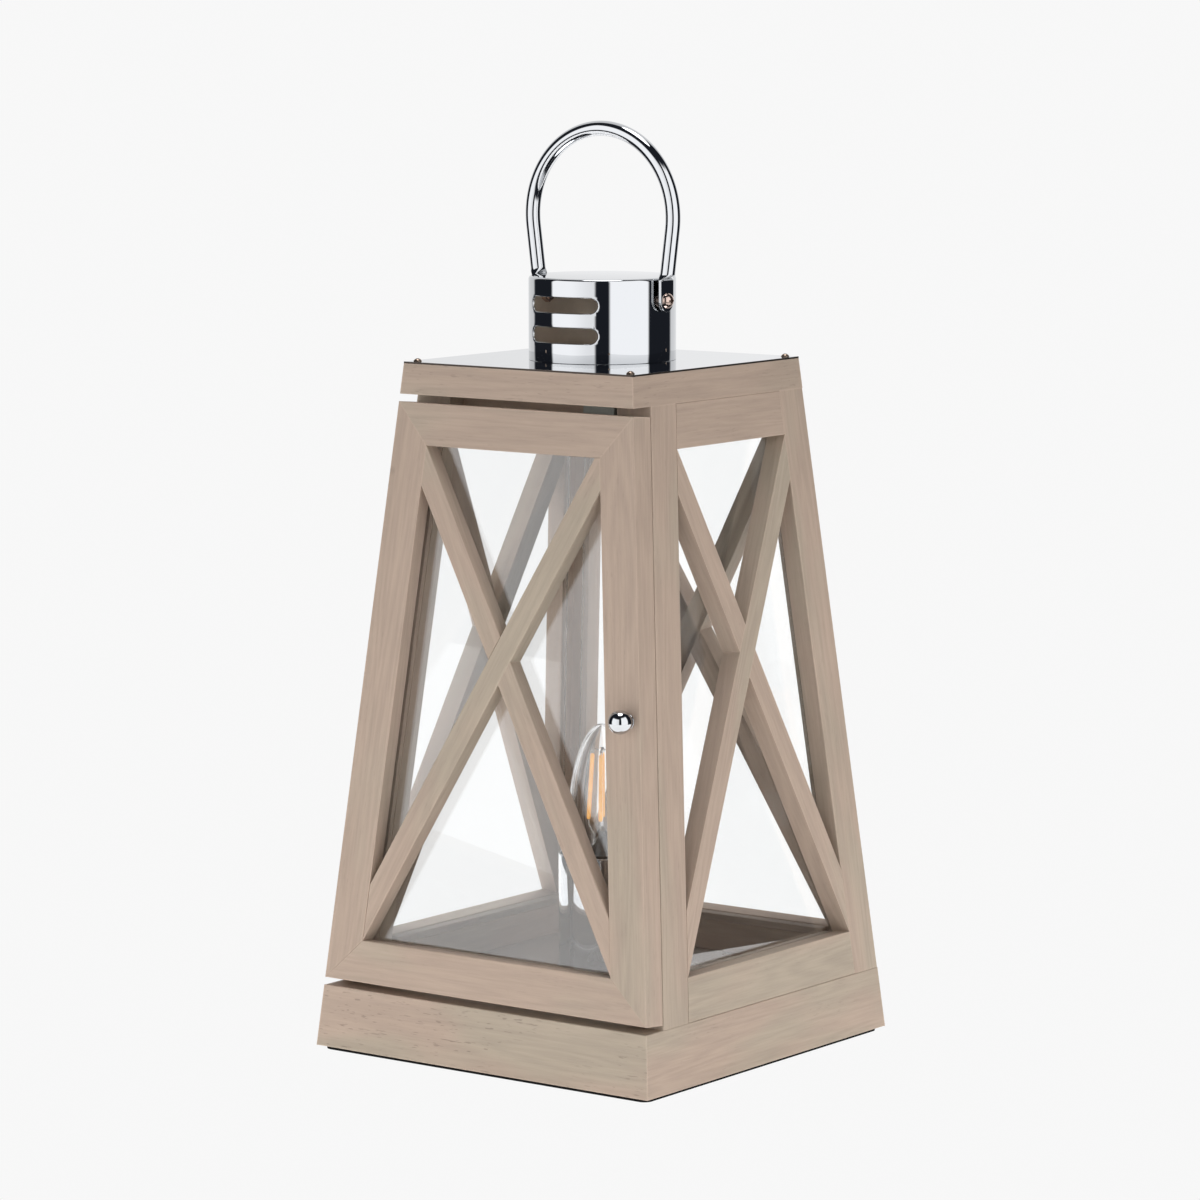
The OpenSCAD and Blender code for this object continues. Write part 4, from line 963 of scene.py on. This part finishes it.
capsule = [(0, 0)]
capsule += [(FILAMENT_R * math.sin(a), FILAMENT_R * (1 - math.cos(a))) for a in (0.5, 1.0, 1.57)]
capsule += [(r, FILAMENT_H - z) for r, z in capsule[::-1]]
filament_shape = bmesh.new()
for out in OUTWARD:
    low, high = at(out, FOOT_RING, FILAMENT_Z), at(out, TOP_RING, FILAMENT_Z + FILAMENT_H)
    lay_rod(filament_shape, capsule, 20, low, high)
filaments = finish_mesh("amber_filaments", filament_shape)
settle(filaments, "lantern", "filament", "bulb_filaments")

# %% [markdown]
# ## Lead wires
# From both ends of each filament a bent wire runs to the stem: above to the bead, below into the
# glass press. The solids leave them out, because they are far thinner than any part of the lamp.

# %% Bulb: lead wires
WIRE_R, PRESS_TOP = 0.28 * MM, GLASS_Z + 13 * MM
UPPER_BEND, LOWER_BEND = (3.4 * MM, 0.6 * MM), (6.6 * MM, -3.5 * MM)
PRESS_RING = 3.2 * MM
wire_shape = bmesh.new()
for out in OUTWARD:
    upper = [at(out, TOP_RING, FILAMENT_Z + FILAMENT_H),
             at(out, UPPER_BEND[0], bead_z + UPPER_BEND[1]), at(out, BEAD_R * 0.8, bead_z)]
    lower = [at(out, FOOT_RING, FILAMENT_Z),
             at(out, LOWER_BEND[0], FILAMENT_Z + LOWER_BEND[1]), at(out, PRESS_RING, PRESS_TOP)]
    for path in (upper, lower):
        for near, far in zip(path, path[1:]):
            length = (far - near).length
            ends = [(0, -WIRE_R), (WIRE_R, 0), (WIRE_R, length), (0, length + WIRE_R)]
            lay_rod(wire_shape, eased(ends, WIRE_R), 12, near, far)
wires = finish_mesh("lead_wires", wire_shape)
settle(wires, "lantern", "screw_steel")

# %% [markdown]
# ## Studio
# The photograph is a catalogue picture: pure pale ground, no visible shadow, soft light from two
# large boxes either side of the camera. The chrome cup records the room like a fisheye: reading its
# bands from edge to edge gives the bearing where each box begins and ends. The room is made as a
# world whose brightness depends on direction, so that every reflection falls where it should. Its
# parts are the two boxes, the pale wall behind the lamp, a small light straight overhead, and a
# bluish dark between them. Bearings are degrees from the camera's; a rise is the height on a
# sphere of radius 1.
#
# Where the eye meets the ground directly or through glass, it gets the catalogue's white instead.
# A pane darkens what is behind it or veils it with its own reflection, so that white is made up
# for it on each side of the lantern's corner; the floor and the world share this.

# %% The room as a world
BOX_LEFT, BOX_RIGHT, BACKGROUND, DARK, TOP_LIGHT = 1.50, 1.50, 0.95, 0.02, 6.0
LEFT_BEARINGS, RIGHT_BEARINGS, BEARING_SOFT = (-85, -11.4), (11.4, 77), 2.5
LEFT_RISES, RIGHT_RISES, RISE_SOFT = (-0.32, 0.56), (-0.32, 0.74), 0.06
LEFT_FADE = (-55, -12, 1.0, 0.82)
WALL_BEARINGS, WALL_FADE = (129, 137), (-0.035, 0.03, 0.90, 0.97)
TOP_RISES = (0.955, 0.970)
COOL, NEUTRAL, COOL_RANGE = (0.82, 0.94, 1.25, 1), (0.985, 0.99, 1.0, 1), (0.02, 0.20)
WHITE, DOOR_SIDE, RIGHT_SIDE, CORNER_SEEN = 0.935, 0.94, 1.29, (0.004, 0.014)

world = bpy.data.worlds.new("studio")
bpy.context.scene.world = world
world.use_nodes = True
room = world.node_tree
room.nodes.clear()
toward = Vector((CAMERA_PLACE.x - CAMERA_AIM.x, CAMERA_PLACE.y - CAMERA_AIM.y, 0)).normalized()
sideways = Vector((-toward.y, toward.x, 0))
look = add(room, "ShaderNodeTexCoord").outputs["Generated"]
ahead = vector_maths(room, "DOT_PRODUCT", look, toward)
beside = vector_maths(room, "DOT_PRODUCT", look, sideways)
bearing = maths(room, "MULTIPLY", maths(room, "ARCTAN2", beside, ahead), 180 / math.pi)
rise = add(room, "ShaderNodeSeparateXYZ", {0: look}).outputs["Z"]


def seen_straight(tree, most_bounces):
    """1 where the eye meets the ground directly, or through nothing but glass."""
    path = add(tree, "ShaderNodeLightPath").outputs
    bounces = maths(tree, "SUBTRACT", path["Ray Depth"], path["Transmission Depth"])
    from_eye = maths(tree, "MAXIMUM", path["Is Camera Ray"], path["Is Transmission Ray"])
    return maths(tree, "MULTIPLY", maths(tree, "LESS_THAN", bounces, most_bounces), from_eye)


def ground_white(tree, off_axis):
    """The ground's white, made up for what the panes take or add where it is seen through them."""
    through = remap(tree, off_axis, *CORNER_SEEN, DOOR_SIDE, RIGHT_SIDE)
    is_direct = add(tree, "ShaderNodeLightPath").outputs["Is Camera Ray"]
    share = add(tree, "ShaderNodeMix", {0: is_direct, 2: through, 3: 1.0}).outputs[0]
    return maths(tree, "MULTIPLY", share, WHITE)


def between(value, low, high, soft):
    up = remap(room, value, low - soft, low + soft)
    down = remap(room, value, high - soft, high + soft, 1.0, 0.0)
    return maths(room, "MULTIPLY", up, down)


def soft_box(level, bearings, rises):
    wide = maths(room, "MULTIPLY", between(bearing, *bearings, BEARING_SOFT), level)
    return maths(room, "MULTIPLY", wide, between(rise, *rises, RISE_SOFT))


left_box = soft_box(BOX_LEFT, LEFT_BEARINGS, LEFT_RISES)
left_box = maths(room, "MULTIPLY", left_box, remap(room, bearing, *LEFT_FADE))
right_box = soft_box(BOX_RIGHT, RIGHT_BEARINGS, RIGHT_RISES)
boxes = maths(room, "ADD", left_box, right_box)
behind = remap(room, maths(room, "ABSOLUTE", bearing), *WALL_BEARINGS)
far_wall = maths(room, "MULTIPLY", maths(room, "MULTIPLY", behind, BACKGROUND),
                 remap(room, beside, *WALL_FADE))
top_light = maths(room, "MULTIPLY", remap(room, rise, *TOP_RISES), TOP_LIGHT)
brightness = maths(room, "ADD", boxes, far_wall)
brightness = maths(room, "ADD", brightness, maths(room, "ADD", top_light, DARK))
tint = mixed(room, remap(room, brightness, *COOL_RANGE), COOL, NEUTRAL)
lit = add(room, "ShaderNodeBackground", {"Color": tint, "Strength": brightness}).outputs[0]
plain_ground = add(room, "ShaderNodeBackground", {
    "Color": (1, 1, 1, 1), "Strength": ground_white(room, beside),
}).outputs[0]
seen = add(room, "ShaderNodeMixShader", {
    0: seen_straight(room, 1.5), 1: lit, 2: plain_ground,
}).outputs[0]
room.links.new(seen, add(room, "ShaderNodeOutputWorld").inputs["Surface"])
print("studio: boxes at", BOX_LEFT, "and", BOX_RIGHT)

# %% [markdown]
# ## The floor
# A pale disc round the lamp stands in for the lit table: it glows, so that the plinth, the floor
# plate and the undersides get the light that a real white sweep throws up at them.

# %% The pale floor
FLOOR_R, FLOOR_GLOW = 0.75, 0.70
floor_shape = bmesh.new()
bmesh.ops.create_circle(floor_shape, cap_ends=True, radius=FLOOR_R, segments=96)
floor = to_object("pale_floor", floor_shape)
floor_material, floor_tree, floor_surface = new_material(
    "pale_floor", Base_Color=(0.8, 0.8, 0.8, 1), Roughness=0.9, Emission_Color=(1, 1, 1, 1),
    Emission_Strength=FLOOR_GLOW)
floor_spot = add(floor_tree, "ShaderNodeNewGeometry").outputs["Position"]
from_camera = vector_maths(floor_tree, "SUBTRACT", floor_spot, CAMERA_PLACE)
from_camera = vector_maths(floor_tree, "NORMALIZE", from_camera)
off_axis = vector_maths(floor_tree, "DOT_PRODUCT", from_camera, sideways)
floor_glow = add(floor_tree, "ShaderNodeEmission", {
    "Color": (1, 1, 1, 1), "Strength": ground_white(floor_tree, off_axis),
}).outputs[0]
floor_both = add(floor_tree, "ShaderNodeMixShader", {
    0: seen_straight(floor_tree, 0.5), 1: floor_surface.outputs[0], 2: floor_glow,
}).outputs[0]
floor_tree.links.new(floor_both, floor_tree.nodes["Material Output"].inputs["Surface"])
floor.data.materials.append(floor_material)

bpy.context.scene.view_settings.view_transform = "Standard"
print("floor laid, radius", FLOOR_R)
